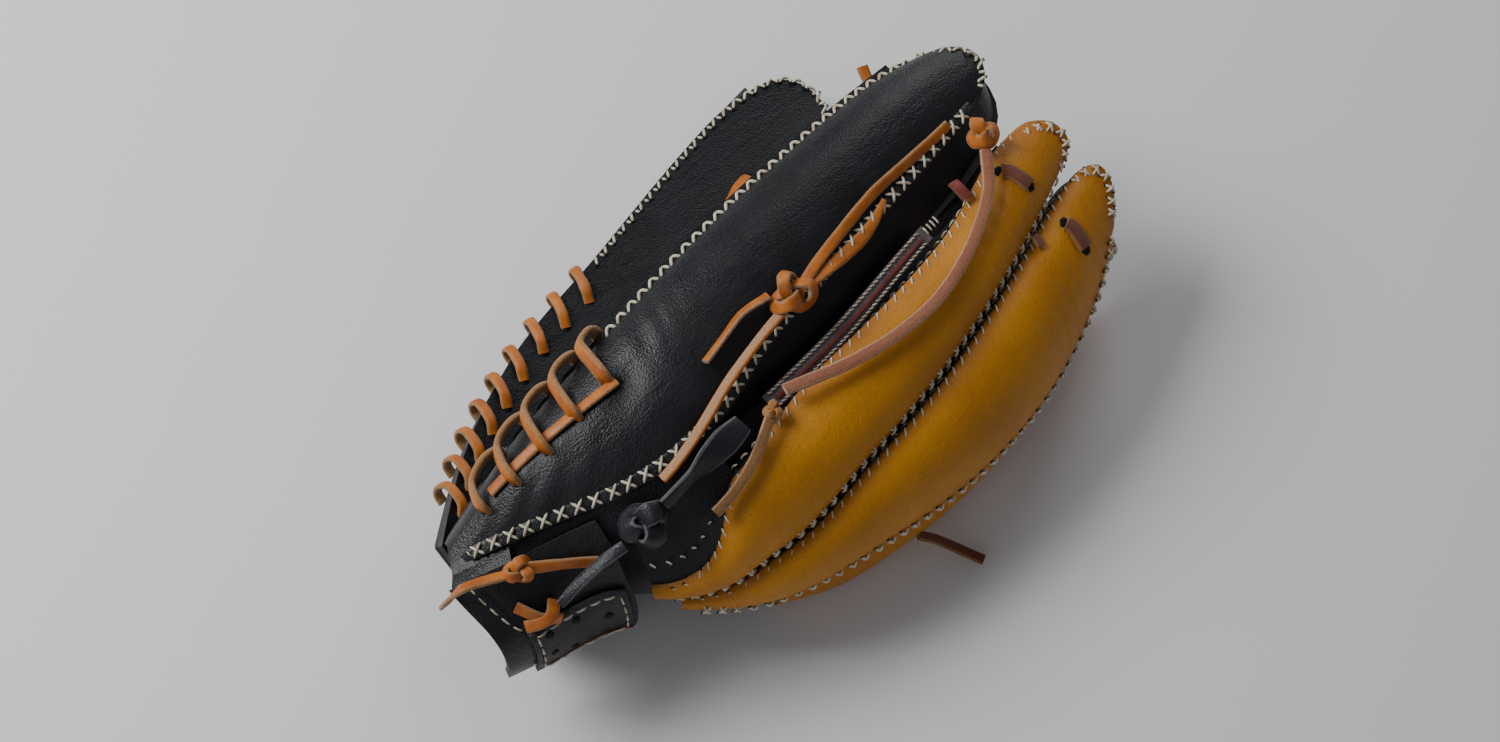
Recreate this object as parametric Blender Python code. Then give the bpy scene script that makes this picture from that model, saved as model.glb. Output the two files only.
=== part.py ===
"""Baseball glove, lying on its thumb side, nearly closed.

The whole glove follows one curved surface, the palm face of the leather.
A place on it is (u, x, b): u counts the rails round the section from the
pinky's outer edge (0) over the finger spine to the thumb's outer edge (6),
x runs from the heel to the finger tips and b is the height of a layer
above the palm face, towards the back of the hand. All of these are in mm.
"""
import math

import bmesh
import bpy
import numpy as np

# ---------------------------------------------------------------- dimensions
MM = 0.001
STATION_X = np.array([-150.0, -115.0, -70.0, -10.0, 60.0, 130.0])
# palm face (y, z) at each station, one row per rail round the section
RAILS = np.array([
    [(26, 64), (32, 82), (35, 96), (41, 102), (45, 100), (46, 92)],
    [(6, 64), (-6, 74), (-26, 84), (-29, 86), (-20, 84), (-8, 77)],
    [(-6, 56), (-18, 60), (-53, 57), (-61, 66), (-49, 70), (-28, 66)],
    [(-8, 46), (-22, 46), (-55, 40), (-74, 45), (-73, 48), (-50, 50)],
    [(-2, 36), (-14, 30), (-44, 22), (-56, 20), (-52, 21), (-32, 28)],
    [(14, 32), (20, 24), (30, 22), (42, 22), (52, 22), (58, 24)],
    [(34, 48), (61, 38), (83, 30), (95, 28), (107, 29), (114, 29)],
], float)
# the line where the finger half and the thumb half of the palm meet
HALVES_U = (3.5, 3.95, 4.15, 4.12, 4.0, 4.0)

SHELL_T = 2.0           # palm leather
LINING_B = 2.35         # palm lining, above the shell
LINING_T = 0.9
WALL_B = 4.0            # foot of the gusset walls
BACK_T = 1.8            # back leather
GUSSET_T = 1.4
FIT = 0.35              # clearance between layers
PAD_T = 1.6
STALL_T = 0.9
HEEL_X = -150.0
SLIT_X = 25.0           # where the finger fronts part
LACE_W = 3.8
LACE_T = 1.5
TAIL_D = 4.2
INDEX_LEAN = 2.6        # the index back is fuller towards the thumb
KNOT_STRAND = 0.62      # radius of a knot's strand against its outline

LANE_X = (-150.0, -100.0, -60.0, -10.0, 60.0, 130.0)
# back panels: left and right edges at LANE_X (rails), start, tip, edge heights, crown
BACKS = {
    "pinky": dict(left=(0.03,) * 6, right=(0.78, 0.92, 0.85, 0.70, 0.67, 0.62),
                  start=-150.0, tip=137.0, bl=5.4, br=12.0, crown=17.0, palm=(0.0, 0.92)),
    "ring": dict(left=(2.3, 2.3, 1.15, 1.0, 1.07, 0.8), right=(2.6, 2.6, 1.95, 1.86, 1.96, 1.92),
                 start=-100.0, tip=141.0, bl=12.0, br=12.0, crown=18.0, palm=(1.02, 2.0)),
    "middle": dict(left=(2.64, 2.64, 2.05, 1.97, 2.07, 2.03), right=(2.74, 2.72, 2.76, 2.94, 3.08, 2.92),
                   start=-92.0, tip=145.0, bl=12.0, br=15.5, crown=18.0, palm=(2.08, 2.98)),
    "index": dict(left=(3.2, 3.2, 3.2, 3.25, 3.26, 3.1), right=(3.86, 3.86, 3.88, 3.9, 3.88, 3.86),
                  start=-62.0, tip=139.0, bl=10.5, br=11.5, crown=16.6, palm=(3.06, 3.95)),
    "thumb": dict(left=(5.1, 5.1, 5.1, 5.12, 5.12, 5.1), right=(5.97,) * 6,
                  start=-112.0, tip=114.0, bl=11.0, br=5.4, crown=18.0, palm=(5.03, 6.0)),
}
TIP_ROUND = 20.0
HINGE_A = (-150.0, -8.0, 20.0)
HINGE_B = (110.0, -60.0, 12.0)

# ---------------------------------------------------------------- materials
COLOURS = {
    "black_leather": (0.012, 0.013, 0.018, 0.42, "leather"),
    "mustard_leather": (0.50, 0.24, 0.02, 0.5, "leather"),
    "lining_leather": (0.03, 0.026, 0.024, 0.8, "leather"),
    "wool_felt": (0.42, 0.38, 0.32, 0.95, "felt"),
    "lace_rawhide": (0.45, 0.15, 0.04, 0.6, "leather"),
    "welt_red": (0.28, 0.03, 0.02, 0.5, "leather"),
}


def material(name):
    found = bpy.data.materials.get(name)
    if found:
        return found
    red, green, blue, rough, _ = COLOURS[name]
    made = bpy.data.materials.new(name)
    made.use_nodes = True
    shader = made.node_tree.nodes["Principled BSDF"]
    shader.inputs["Base Color"].default_value = (red, green, blue, 1.0)
    shader.inputs["Roughness"].default_value = rough
    made.diffuse_color = (red, green, blue, 1.0)
    return made


# ---------------------------------------------------------------- the curved surface
def slopes():
    step = np.diff(STATION_X)[None, :, None]
    rise = np.diff(RAILS, axis=1) / step
    m = np.zeros_like(RAILS)
    m[:, 1:-1] = (rise[:, :-1] * step[:, 1:] + rise[:, 1:] * step[:, :-1]) / (step[:, 1:] + step[:, :-1])
    m[:, 0] = 1.5 * rise[:, 0] - 0.5 * m[:, 1]
    m[:, -1] = 1.5 * rise[:, -1] - 0.5 * m[:, -2]
    return m


RAIL_SLOPES = slopes()


def hermite(p0, p1, m0, m1, t, h=1.0):
    return (p0 * (2 * t**3 - 3 * t**2 + 1) + p1 * (3 * t**2 - 2 * t**3)
            + h * m0 * (t**3 - 2 * t**2 + t) + h * m1 * (t**3 - t**2))


def palm_face(u, x):
    u, x = np.broadcast_arrays(np.asarray(u, float), np.asarray(x, float))
    shape = u.shape
    u, x = u.ravel(), x.ravel()
    i = np.clip(np.searchsorted(STATION_X, x) - 1, 0, len(STATION_X) - 2)
    h = (STATION_X[i + 1] - STATION_X[i])[:, None, None]
    s = (x - STATION_X[i])[:, None, None] / h
    r = hermite(RAILS[:, i].transpose(1, 0, 2), RAILS[:, i + 1].transpose(1, 0, 2),
                RAIL_SLOPES[:, i].transpose(1, 0, 2), RAIL_SLOPES[:, i + 1].transpose(1, 0, 2), s, h)
    g = np.zeros_like(r)
    g[:, 1:-1] = 0.5 * (r[:, 2:] - r[:, :-2])
    g[:, 0] = 1.5 * (r[:, 1] - r[:, 0]) - 0.5 * g[:, 1]
    g[:, -1] = 1.5 * (r[:, -1] - r[:, -2]) - 0.5 * g[:, -2]
    k = np.clip(np.floor(u).astype(int), 0, len(RAILS) - 2)
    row = np.arange(len(u))
    yz = hermite(r[row, k], r[row, k + 1], g[row, k], g[row, k + 1], (u - k)[:, None])
    return np.concatenate([x[:, None], yz], 1).reshape(shape + (3,))


def skin(u, x, b):
    """Points at height b above the palm face."""
    u, x, b = np.broadcast_arrays(np.asarray(u, float), np.asarray(x, float), np.asarray(b, float))
    across = palm_face(u + 0.05, x) - palm_face(u - 0.05, x)
    along = palm_face(u, x + 1.5) - palm_face(u, x - 1.5)
    normal = np.cross(across, along)
    normal /= np.linalg.norm(normal, axis=-1, keepdims=True)
    return palm_face(u, x) + normal * b[..., None]


def rail_mm(u, x):
    """Width in mm of one rail unit at a place."""
    return np.linalg.norm(palm_face(u + 0.1, x) - palm_face(u - 0.1, x), axis=-1) / 0.2


def halves_u(x, side=0):
    """Rail of the crease, or of the leather's edge on one side of it."""
    gap = 0.03 + 0.06 * np.clip((-60.0 - x) / 60.0, 0, 1)
    return np.interp(x, STATION_X, HALVES_U) + side * gap


# ---------------------------------------------------------------- closed bodies
BUILT = []


def finish_mesh(name, verts, faces, mat, smooth=True):
    mesh = bpy.data.meshes.new(name)
    mesh.from_pydata([tuple(v) for v in np.asarray(verts) * MM], [], faces)
    body = bmesh.new()
    body.from_mesh(mesh)
    bmesh.ops.recalc_face_normals(body, faces=body.faces)
    if body.calc_volume(signed=True) < 0:
        bmesh.ops.reverse_faces(body, faces=body.faces)
    body.to_mesh(mesh)
    body.free()
    mesh.polygons.foreach_set("use_smooth", [smooth] * len(mesh.polygons))
    mesh.materials.append(material(mat))
    made = bpy.data.objects.new(name, mesh)
    bpy.context.scene.collection.objects.link(made)
    BUILT.append(made)
    return made


def slab(name, outer, inner, mat, mask=None, loop=False):
    """A sheet with thickness between two matching grids of points."""
    rows, cols = outer.shape[:2]
    count = rows * cols
    verts = np.concatenate([outer.reshape(-1, 3), inner.reshape(-1, 3)])
    last = cols if loop else cols - 1
    if mask is None:
        mask = np.ones((rows - 1, last), bool)
    faces = []
    edges = {}
    for i in range(rows - 1):
        for j in range(last):
            if not mask[i, j]:
                continue
            k = (j + 1) % cols
            ring = [i * cols + j, i * cols + k, (i + 1) * cols + k, (i + 1) * cols + j]
            for tri in (ring[:3], [ring[0], ring[2], ring[3]]):
                faces.append(tri)
                faces.append([count + v for v in reversed(tri)])
            for a, b in zip(ring, ring[1:] + ring[:1]):
                if (b, a) in edges:
                    del edges[(b, a)]
                else:
                    edges[(a, b)] = True
    for a, b in edges:
        faces.append([b, a, count + a, count + b])
    used = sorted({v for face in faces for v in face})
    index = {v: n for n, v in enumerate(used)}
    faces = [[index[v] for v in face] for face in faces]
    return finish_mesh(name, verts[used], faces, mat)


def sweep(name, points, sides, width, thick, mat):
    """A flat lace: a rectangular section carried along a line."""
    points = np.asarray(points, float)
    tangent = np.gradient(points, axis=0)
    tangent /= np.linalg.norm(tangent, axis=1, keepdims=True)
    sides = np.asarray(sides, float)
    sides = sides - tangent * np.sum(sides * tangent, 1, keepdims=True)
    sides /= np.linalg.norm(sides, axis=1, keepdims=True)
    up = np.cross(tangent, sides)
    corners = [(-0.5, -0.5), (0.5, -0.5), (0.5, 0.5), (-0.5, 0.5)]
    verts = np.stack([points + sides * (width * a) + up * (thick * b) for a, b in corners], 1).reshape(-1, 3)
    faces = []
    for i in range(len(points) - 1):
        for j in range(4):
            k = (j + 1) % 4
            faces.append([4 * i + j, 4 * i + k, 4 * i + 4 + k, 4 * i + 4 + j])
    end = 4 * (len(points) - 1)
    faces.append([3, 2, 1, 0])
    faces.append([end, end + 1, end + 2, end + 3])
    return finish_mesh(name, verts, faces, mat, smooth=False)


def smooth_line(points, step):
    """Catmull-Rom through the points, resampled at an even spacing."""
    p = np.asarray(points, float)
    p = np.concatenate([[2 * p[0] - p[1]], p, [2 * p[-1] - p[-2]]])
    fine = []
    for i in range(1, len(p) - 2):
        t = np.linspace(0, 1, 24, endpoint=False)[:, None]
        fine.append(hermite(p[i], p[i + 1], 0.5 * (p[i + 1] - p[i - 1]), 0.5 * (p[i + 2] - p[i]), t))
    fine = np.concatenate(fine + [p[-2:-1]])
    run = np.concatenate([[0], np.cumsum(np.linalg.norm(np.diff(fine, axis=0), axis=1))])
    count = max(3, int(round(run[-1] / step)) + 1)
    at = np.linspace(0, run[-1], count)
    return np.stack([np.interp(at, run, fine[:, k]) for k in range(3)], 1)


def on_back(finger, places, lift=1.25):
    """(u, x) places set just above a finger's back leather."""
    spec = BACKS[finger]
    found = []
    for u, x in places:
        left = np.interp(x, LANE_X, spec["left"])
        right = np.interp(x, LANE_X, spec["right"])
        t = np.clip((2 * u - left - right) / (right - left), -1, 1)
        s = (x - spec["start"]) / (spec["tip"] - spec["start"])
        found.append((u, x, float(back_height(finger, s, t)) + lift))
    return found


def on_skin(places):
    p = np.asarray(places, float)
    return skin(p[:, 0], p[:, 1], p[:, 2])


def surface_lace(name, places, mat="lace_rawhide", width=LACE_W, step=6.0):
    """A lace lying on the surface through (u, x, b) places."""
    p = np.asarray(places, float)
    line = smooth_line(on_skin(p), step)
    normal = skin(p[:, 0], p[:, 1], p[:, 2] + 1.0) - on_skin(p)
    knots = np.linspace(0, 1, len(p))
    at = np.linspace(0, 1, len(line))
    normal = np.stack([np.interp(at, knots, normal[:, k]) for k in range(3)], 1)
    tangent = np.gradient(line, axis=0)
    return sweep(name, line, np.cross(tangent, normal), width, LACE_T, mat)


def edge_lace(name, u_edge, x0, x1, loops, inward, mat="lace_rawhide"):
    """A lace whipped over an outer edge of the glove."""
    turn = np.linspace(0, loops, loops * 10 + 1)
    x = x0 + (x1 - x0) * turn / loops
    edge = skin(u_edge, x, 3.0)
    inner = skin(u_edge + inward * 0.06, x, 3.0)
    out = edge - inner
    out /= np.linalg.norm(out, axis=1, keepdims=True)
    up = skin(u_edge, x, 4.0) - edge
    angle = 1.9 * np.sin(2 * math.pi * turn)
    reach = np.where(np.cos(angle) > 0, 3.2, 5.0) * np.cos(angle)
    height = 6.0 * np.sin(angle)
    line = edge + out * reach[:, None] + up * height[:, None]
    along = np.gradient(edge, axis=0)
    return sweep(name, line, along, LACE_W * 0.8, LACE_T, mat)


def knot(name, centre, size, axis_u, mat="lace_rawhide"):
    """A tight overhand knot in a lace, as wide as size."""
    turns = np.linspace(0, 2 * math.pi, 31)[:-1]
    scale = size / (2 * (3.0 + KNOT_STRAND))
    flat = np.stack([np.sin(turns) + 2 * np.sin(2 * turns),
                     np.cos(turns) - 2 * np.cos(2 * turns),
                     -1.25 * np.sin(3 * turns)], 1) * scale
    z = np.asarray(axis_u, float)
    z /= np.linalg.norm(z)
    x = np.cross(z, (0.3, 1.0, 0.1))
    x /= np.linalg.norm(x)
    line = np.asarray(centre) + flat @ np.stack([x, np.cross(z, x), z])
    tangent = np.roll(line, -1, 0) - np.roll(line, 1, 0)
    tangent /= np.linalg.norm(tangent, axis=1, keepdims=True)
    side = np.cross(tangent, z + 0 * tangent)
    side /= np.linalg.norm(side, axis=1, keepdims=True)
    up = np.cross(tangent, side)
    ring = [(math.cos(a), math.sin(a)) for a in np.linspace(0, 2 * math.pi, 7)[:-1]]
    r = KNOT_STRAND * scale
    verts = np.stack([line + r * (side * c + up * s) for c, s in ring], 1).reshape(-1, 3)
    faces = []
    count = len(line)
    for i in range(count):
        n = (i + 1) % count
        for j in range(6):
            k = (j + 1) % 6
            faces.append([6 * i + j, 6 * i + k, 6 * n + k, 6 * n + j])
    return finish_mesh(name, verts, faces, mat)


TAILS = {}


def tail(name, points, diameter=TAIL_D, mat="lace_rawhide"):
    """A free lace end as a round cord."""
    line = smooth_line(points, diameter * 2.2)
    TAILS[name] = (line, diameter)
    curve = bpy.data.curves.new(name, "CURVE")
    curve.dimensions = "3D"
    curve.bevel_depth = diameter * 0.5 * MM
    curve.bevel_resolution = 2
    curve.use_fill_caps = True
    spline = curve.splines.new("POLY")
    spline.points.add(len(line) - 1)
    for point, place in zip(spline.points, line):
        point.co = (place[0] * MM, place[1] * MM, place[2] * MM, 1.0)
    spline.use_smooth = True
    curve.materials.append(material(mat))
    made = bpy.data.objects.new(name, curve)
    bpy.context.scene.collection.objects.link(made)
    BUILT.append(made)
    return made


# ---------------------------------------------------------------- finger lanes
def lane(finger, s, t, palm=False, inset=0.0):
    """(u, x) of a finger outline: s from heel to tip, t across from -1 to 1."""
    spec = BACKS[finger]
    s, t = np.broadcast_arrays(np.asarray(s, float), np.asarray(t, float))
    corner = TIP_ROUND * (1 - np.sqrt(1 - 0.9 * t**2))
    x = spec["start"] + s * (spec["tip"] - inset - spec["start"] - corner)
    if palm:
        left, right = spec["palm"]
        left, right = left + 0 * x, right + 0 * x
    else:
        left = np.interp(x, LANE_X, spec["left"])
        right = np.interp(x, LANE_X, spec["right"])
    middle = 0.5 * (left + right)
    half = 0.5 * (right - left) - inset / rail_mm(middle, x)
    narrow = 1 - 0.22 * np.clip((s - 0.85) / 0.15, 0, 1)**2
    return middle + t * narrow * half, x


def edge_height(finger, t):
    spec = BACKS[finger]
    return spec["bl"] + (spec["br"] - spec["bl"]) * 0.5 * (1 + t)


def back_height(finger, s, t):
    spec = BACKS[finger]
    side = edge_height(finger, t)
    fall = 1 - 0.55 * np.clip((s - 0.78) / 0.22, 0, 1)**2
    rise = np.clip(s / 0.12, 0, 1) * 0.6 + 0.4
    crown = spec["crown"] + (INDEX_LEAN * t if finger == "index" else 0.0)
    return side + (crown - side) * (1 - np.abs(t)**2.4) * fall * rise


def rows_for(finger, step):
    spec = BACKS[finger]
    count = int(round((spec["tip"] - spec["start"]) / step))
    return np.linspace(0, 1, count + 1)


ACROSS = np.array([-1.0, -0.9, -0.6, 0.0, 0.6, 0.9, 1.0])
TIP_ACROSS = np.array([-1.0, -0.9, -0.6, -0.2, 0.2, 0.6, 0.9, 1.0])


def back_panel(finger, mat):
    s, t = np.meshgrid(rows_for(finger, 15), ACROSS, indexing="ij")
    u, x = lane(finger, s, t)
    b = back_height(finger, s, t)
    return slab(finger + "_back", skin(u, x, b), skin(u, x, b - BACK_T), mat)


def stall_lining(finger):
    first = -0.55 if finger == "pinky" else -1.0
    last = 0.55 if finger == "thumb" else 1.0
    s, t = np.meshgrid(np.linspace(0.06, 0.93, 12), np.linspace(first, last, 6), indexing="ij")
    u, x = lane(finger, s, t, inset=4.0)
    top = np.minimum(back_height(finger, s, t * 0.93), back_height(finger, s, t)) - BACK_T - FIT - 1.0
    return slab(finger + "_stall_lining", skin(u, x, top), skin(u, x, top - STALL_T), "lining_leather")


def pad(finger, s0, s1):
    s, t = np.meshgrid(np.linspace(s0, s1, 9), np.linspace(-1, 1, 5), indexing="ij")
    u, x = lane(finger, s, t, palm=True, inset=5.5)
    b0 = LINING_B + LINING_T + FIT + 0.5
    thick = PAD_T * (1 - 0.5 * t**2)
    return slab(finger + "_pad", skin(u, x, b0 + thick), skin(u, x, b0), "wool_felt")


def wall_path(finger):
    """(s, t) round the finger: up the left side, over the tip, down the right."""
    s = rows_for(finger, 20)
    sides = {"pinky": (False, True), "thumb": (True, False)}.get(finger, (True, True))
    path = []
    if sides[0]:
        path += [(v, -1.0) for v in s[:-1]]
    tip = TIP_ACROSS
    if not sides[0]:
        tip = TIP_ACROSS[2:]
    if not sides[1]:
        tip = TIP_ACROSS[:-2]
    path += [(1.0, v) for v in tip]
    if sides[1]:
        path += [(v, 1.0) for v in s[:-1][::-1]]
    return np.array(path)


def gusset(finger, mat="black_leather"):
    path = wall_path(finger)
    s, t = path[:, 0], path[:, 1]
    height = edge_height(finger, t) - BACK_T - 2.6 * FIT
    level = np.array([0.0, 0.34, 0.7, 1.0])

    def face(inset):
        uf, xf = lane(finger, s, t, palm=True, inset=1.2 + inset)
        ub, xb = lane(finger, s, t, inset=inset)
        rows = []
        for v in level:
            rows.append(skin(uf + (ub - uf) * v, xf + (xb - xf) * v, WALL_B + (height - WALL_B) * v))
        return np.stack(rows)
    return slab(finger + "_gusset", face(0.0), face(GUSSET_T), mat)


# ---------------------------------------------------------------- palm leather
def palm_sheet(name, fingers, b0, thick, mat, step):
    """Palm leather with the finger fronts parted by slits."""
    t = np.array([-1.0, -0.85, -0.3, 0.3, 0.85, 1.0])
    columns = []
    for finger in fingers:
        spec = BACKS[finger]
        left, right = spec["palm"]
        for value in t:
            tip = spec["tip"] - TIP_ROUND * (1 - math.sqrt(1 - 0.9 * value**2))
            narrow = 0.22 * 0.5 * (right - left) * value
            columns.append((0.5 * (left + right) + 0.5 * (right - left) * value, tip, narrow, finger))
    near = np.linspace(HEEL_X, SLIT_X, int((SLIT_X - HEEL_X) / step) + 1)
    part = np.linspace(0, 1, 8)[1:]
    u = np.zeros((len(near) + len(part), len(columns)))
    x = np.zeros_like(u)
    for j, (place, tip, narrow, _) in enumerate(columns):
        x[:len(near), j] = near
        x[len(near):, j] = SLIT_X + (tip - SLIT_X) * part
        u[:, j] = place
        u[len(near):, j] -= narrow * np.clip((part - 0.7) / 0.3, 0, 1)**2
    left, right = BACKS["index"]["palm"]
    grow = (halves_u(near, -1) - left) / (right - left)
    for j in range(len(columns) - len(t), len(columns)):
        u[:len(near), j] = left + (u[:len(near), j] - left) * grow
    mask = np.ones((u.shape[0] - 1, u.shape[1] - 1), bool)
    for j in range(len(columns) - 1):
        if columns[j][3] != columns[j + 1][3]:
            mask[len(near) - 1:, j] = False
    return slab(name, skin(u, x, b0 + thick), skin(u, x, b0), mat, mask)


def finger_palm(name, b0, thick, mat):
    return palm_sheet(name, ("pinky", "ring", "middle", "index"), b0, thick, mat, 22)


def thumb_palm(name, b0, thick, mat):
    """Thumb front and the palm leather reaching over to the finger half."""
    t = np.array([0.0, 0.25, 0.5, 0.75, 1.0])
    tip_t = np.array([-1.0, -0.85, -0.3, 0.3, 0.85, 1.0])
    spec = BACKS["thumb"]
    left, right = spec["palm"]
    near = np.linspace(HEEL_X, -12.0, 8)
    part = np.linspace(0, 1, 9)[1:]
    count = len(t) + len(tip_t) - 1
    u = np.zeros((len(near) + len(part), count))
    x = np.zeros_like(u)
    for j in range(count):
        if j < len(t) - 1:
            start = halves_u(near, 1)
            u[:len(near), j] = start + (left - start) * t[j]
            x[:len(near), j] = near
            u[len(near):, j] = u[len(near) - 1, j]
            x[len(near):, j] = -12.0 + 10 * part
        else:
            value = tip_t[j - len(t) + 1]
            tip = spec["tip"] - TIP_ROUND * (1 - math.sqrt(1 - 0.9 * value**2))
            u[:, j] = 0.5 * (left + right) + 0.5 * (right - left) * value
            u[len(near):, j] -= 0.11 * (right - left) * value * np.clip((part - 0.7) / 0.3, 0, 1)**2
            x[:len(near), j] = near
            x[len(near):, j] = -12.0 + (tip + 12.0) * part
    mask = np.ones((u.shape[0] - 1, count - 1), bool)
    mask[len(near) - 1:, :len(t) - 1] = False
    return slab(name, skin(u, x, b0 + thick), skin(u, x, b0), mat, mask)


def patch(name, u0, u1, x0, x1, b0, b1, mat, nu=6, nx=6):
    """A plain sheet; the limits may be numbers or functions of x."""
    x = np.linspace(x0, x1, nx + 1)[:, None] + np.zeros((1, nu + 1))
    f = np.linspace(0, 1, nu + 1)[None, :]
    left = u0(x) if callable(u0) else u0
    right = u1(x) if callable(u1) else u1
    u = left + (right - left) * f
    low = b0(u, x) if callable(b0) else b0
    high = b1(u, x) if callable(b1) else b1
    return slab(name, skin(u, x, high), skin(u, x, low), mat)


# ---------------------------------------------------------------- build
def build():
    for old in list(bpy.data.objects):
        bpy.data.objects.remove(old, do_unlink=True)

    # palm leather and its lining
    finger_palm("palm_shell_fingers", 0.0, SHELL_T, "black_leather")
    finger_palm("palm_lining_fingers", LINING_B, LINING_T, "lining_leather")
    thumb_palm("palm_shell_thumb", 0.0, SHELL_T, "black_leather")
    thumb_palm("palm_lining_thumb", LINING_B, LINING_T, "lining_leather")
    for finger, mat in (("pinky", "black_leather"), ("ring", "mustard_leather"),
                        ("middle", "mustard_leather"), ("index", "mustard_leather"),
                        ("thumb", "black_leather")):
        back_panel(finger, mat)
        gusset(finger)
        stall_lining(finger)
        if finger in ("ring", "middle", "index"):
            pad(finger, 0.3, 0.9)

    # heel pads either side of the crease
    base = LINING_B + LINING_T + FIT + 0.5
    patch("heel_pad_pinky", 0.3, 0.72, -144.0, -78.0, base,
          lambda u, x: base + 2.6 - 4.0 * np.abs(u - 0.6), "wool_felt", nu=4, nx=5)
    patch("heel_pad_thumb", 5.12, 5.66, -144.0, -84.0, base,
          lambda u, x: base + 2.4 - 3.0 * np.abs(u - 5.4), "wool_felt", nu=4, nx=5)

    # back of the hand at the wrist
    def heel_b(u, x):
        return 15.5 + 3.5 * np.clip((-118.0 - x) / 30.0, 0, 1)
    patch("heel_back_panel", 1.0, lambda x: halves_u(x) - 0.22, -156.0, -106.0,
          lambda u, x: heel_b(u, x) - BACK_T, heel_b, "black_leather", nu=9, nx=6)
    patch("wrist_strap", 2.12, 3.2, -150.0, -108.0,
          lambda u, x: heel_b(u, x) + FIT, lambda u, x: heel_b(u, x) + FIT + 2.0, "black_leather", nu=5, nx=5)
    patch("thumb_base_panel", lambda x: halves_u(x) + 0.42, 5.04, -140.0, -30.0, 10.5, 12.3,
          "black_leather", nu=6, nx=8)
    patch("opening_binding", 1.04, 3.1, -160.5, -156.6, lambda u, x: heel_b(u, x) - 3.0,
          lambda u, x: heel_b(u, x) + 0.6, "lining_leather", nu=8, nx=1)
    patch("gusset_welt", 0.93, 1.0, -30.0, 60.0, 10.2, 11.6, "welt_red", nu=1, nx=8)

    # closed web between the thumb and the index finger
    def web_left(x):
        return halves_u(x) + 0.06 + 0 * x
    patch("web_palm_panel", web_left, 4.95, 2.0, 101.0, 0.0, 1.8, "black_leather", nu=7, nx=7)
    patch("web_back_panel", lambda x: halves_u(x) + 0.12, 4.9, 6.0, 98.0, 2.2, 4.0,
          "black_leather", nu=6, nx=6)
    patch("web_crown", lambda x: halves_u(x) + 0.1, 4.9, 101.6, 109.0, -0.6, 4.4,
          "mustard_leather", nu=7, nx=1)
    surface_lace("web_spine_lace", [(4.5, 10, 5.2), (4.5, 50, 5.2), (4.5, 95, 5.2)])
    surface_lace("thumb_web_lace", [(4.98, 8, -1.4), (4.98, 50, -1.4), (4.97, 92, -1.4)])
    surface_lace("index_web_lace", [(halves_u(8) + 0.07, 8, -1.4), (4.06, 50, -1.4), (4.06, 92, -1.4)])

    # laces along the heel edges
    edge_lace("pinky_heel_lace", 0.0, -136.0, -66.0, 5, 1)
    edge_lace("thumb_heel_lace", 6.0, -142.0, -22.0, 9, -1)
    surface_lace("heel_guide_lace", on_back("pinky", [(0.24, -72), (0.22, -90), (0.21, -108), (0.2, -122)], 1.6))

    # laces over the finger tips
    surface_lace("ring_tip_lace", on_back("ring", [(1.12, 108), (1.26, 108), (1.42, 107)]), step=4)
    surface_lace("middle_tip_lace", on_back("middle", [(2.3, 112), (2.44, 112), (2.58, 111)]), step=4)
    surface_lace("finger_gap_lace", [(1.97, 97, 14.8), (2.12, 95.5, 16.9)], step=3)
    surface_lace("pinky_gap_lace", [(0.85, 86, 13.2), (1.0, 85, 14.6)], step=3)

    # the long lace tied over the pinky
    surface_lace("pinky_tie_lace", on_back("pinky", [(0.53, 98), (0.54, 79), (0.53, 57), (0.53, 34), (0.54, 12)]))
    surface_lace("pinky_tie_return", on_back("pinky", [(0.66, 54), (0.7, 42), (0.7, 28), (0.66, 12)], 1.9),
                 width=3.2)
    up = skin(0.6, 2, 1) - skin(0.6, 2, 0)
    knot("pinky_tie_knot", skin(0.6, -1, 23.4), 18.0, up)
    tail("pinky_tail_long", on_skin([(0.64, -12, 20.6), (0.65, -24, 20.2), (0.7, -43, 20.3), (0.79, -60, 19.8),
                                     (0.92, -80, 18.4)]))
    tail("pinky_tail_short", on_skin([(0.48, -12, 20.6), (0.49, -20, 20.2), (0.51, -31, 20.0), (0.54, -43.5, 19.8)]),
         diameter=3.6)
    knot("tip_tie_knot", skin(0.76, 108, 19.6), 12.0, skin(0.76, 107, 1) - skin(0.76, 107, 0))
    tail("tip_tail", on_skin([(0.9, 101, 19.0), (1.12, 88, 20.4), (1.3, 66, 20.8), (1.34, 44, 20.8),
                              (1.25, 22, 20.8), (1.12, 0, 20.6), (1.02, -16, 20.2), (0.94, -29, 20.0)]))
    knot("gusset_tie_knot", skin(0.98, -37, 18.2), 7.0, skin(0.98, -37, 1) - skin(0.98, -37, 0))
    tail("gusset_tail", on_skin([(1.04, -42.5, 18.4), (1.14, -56, 18.8), (1.26, -72.5, 18.4)]), diameter=3.4)

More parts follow.
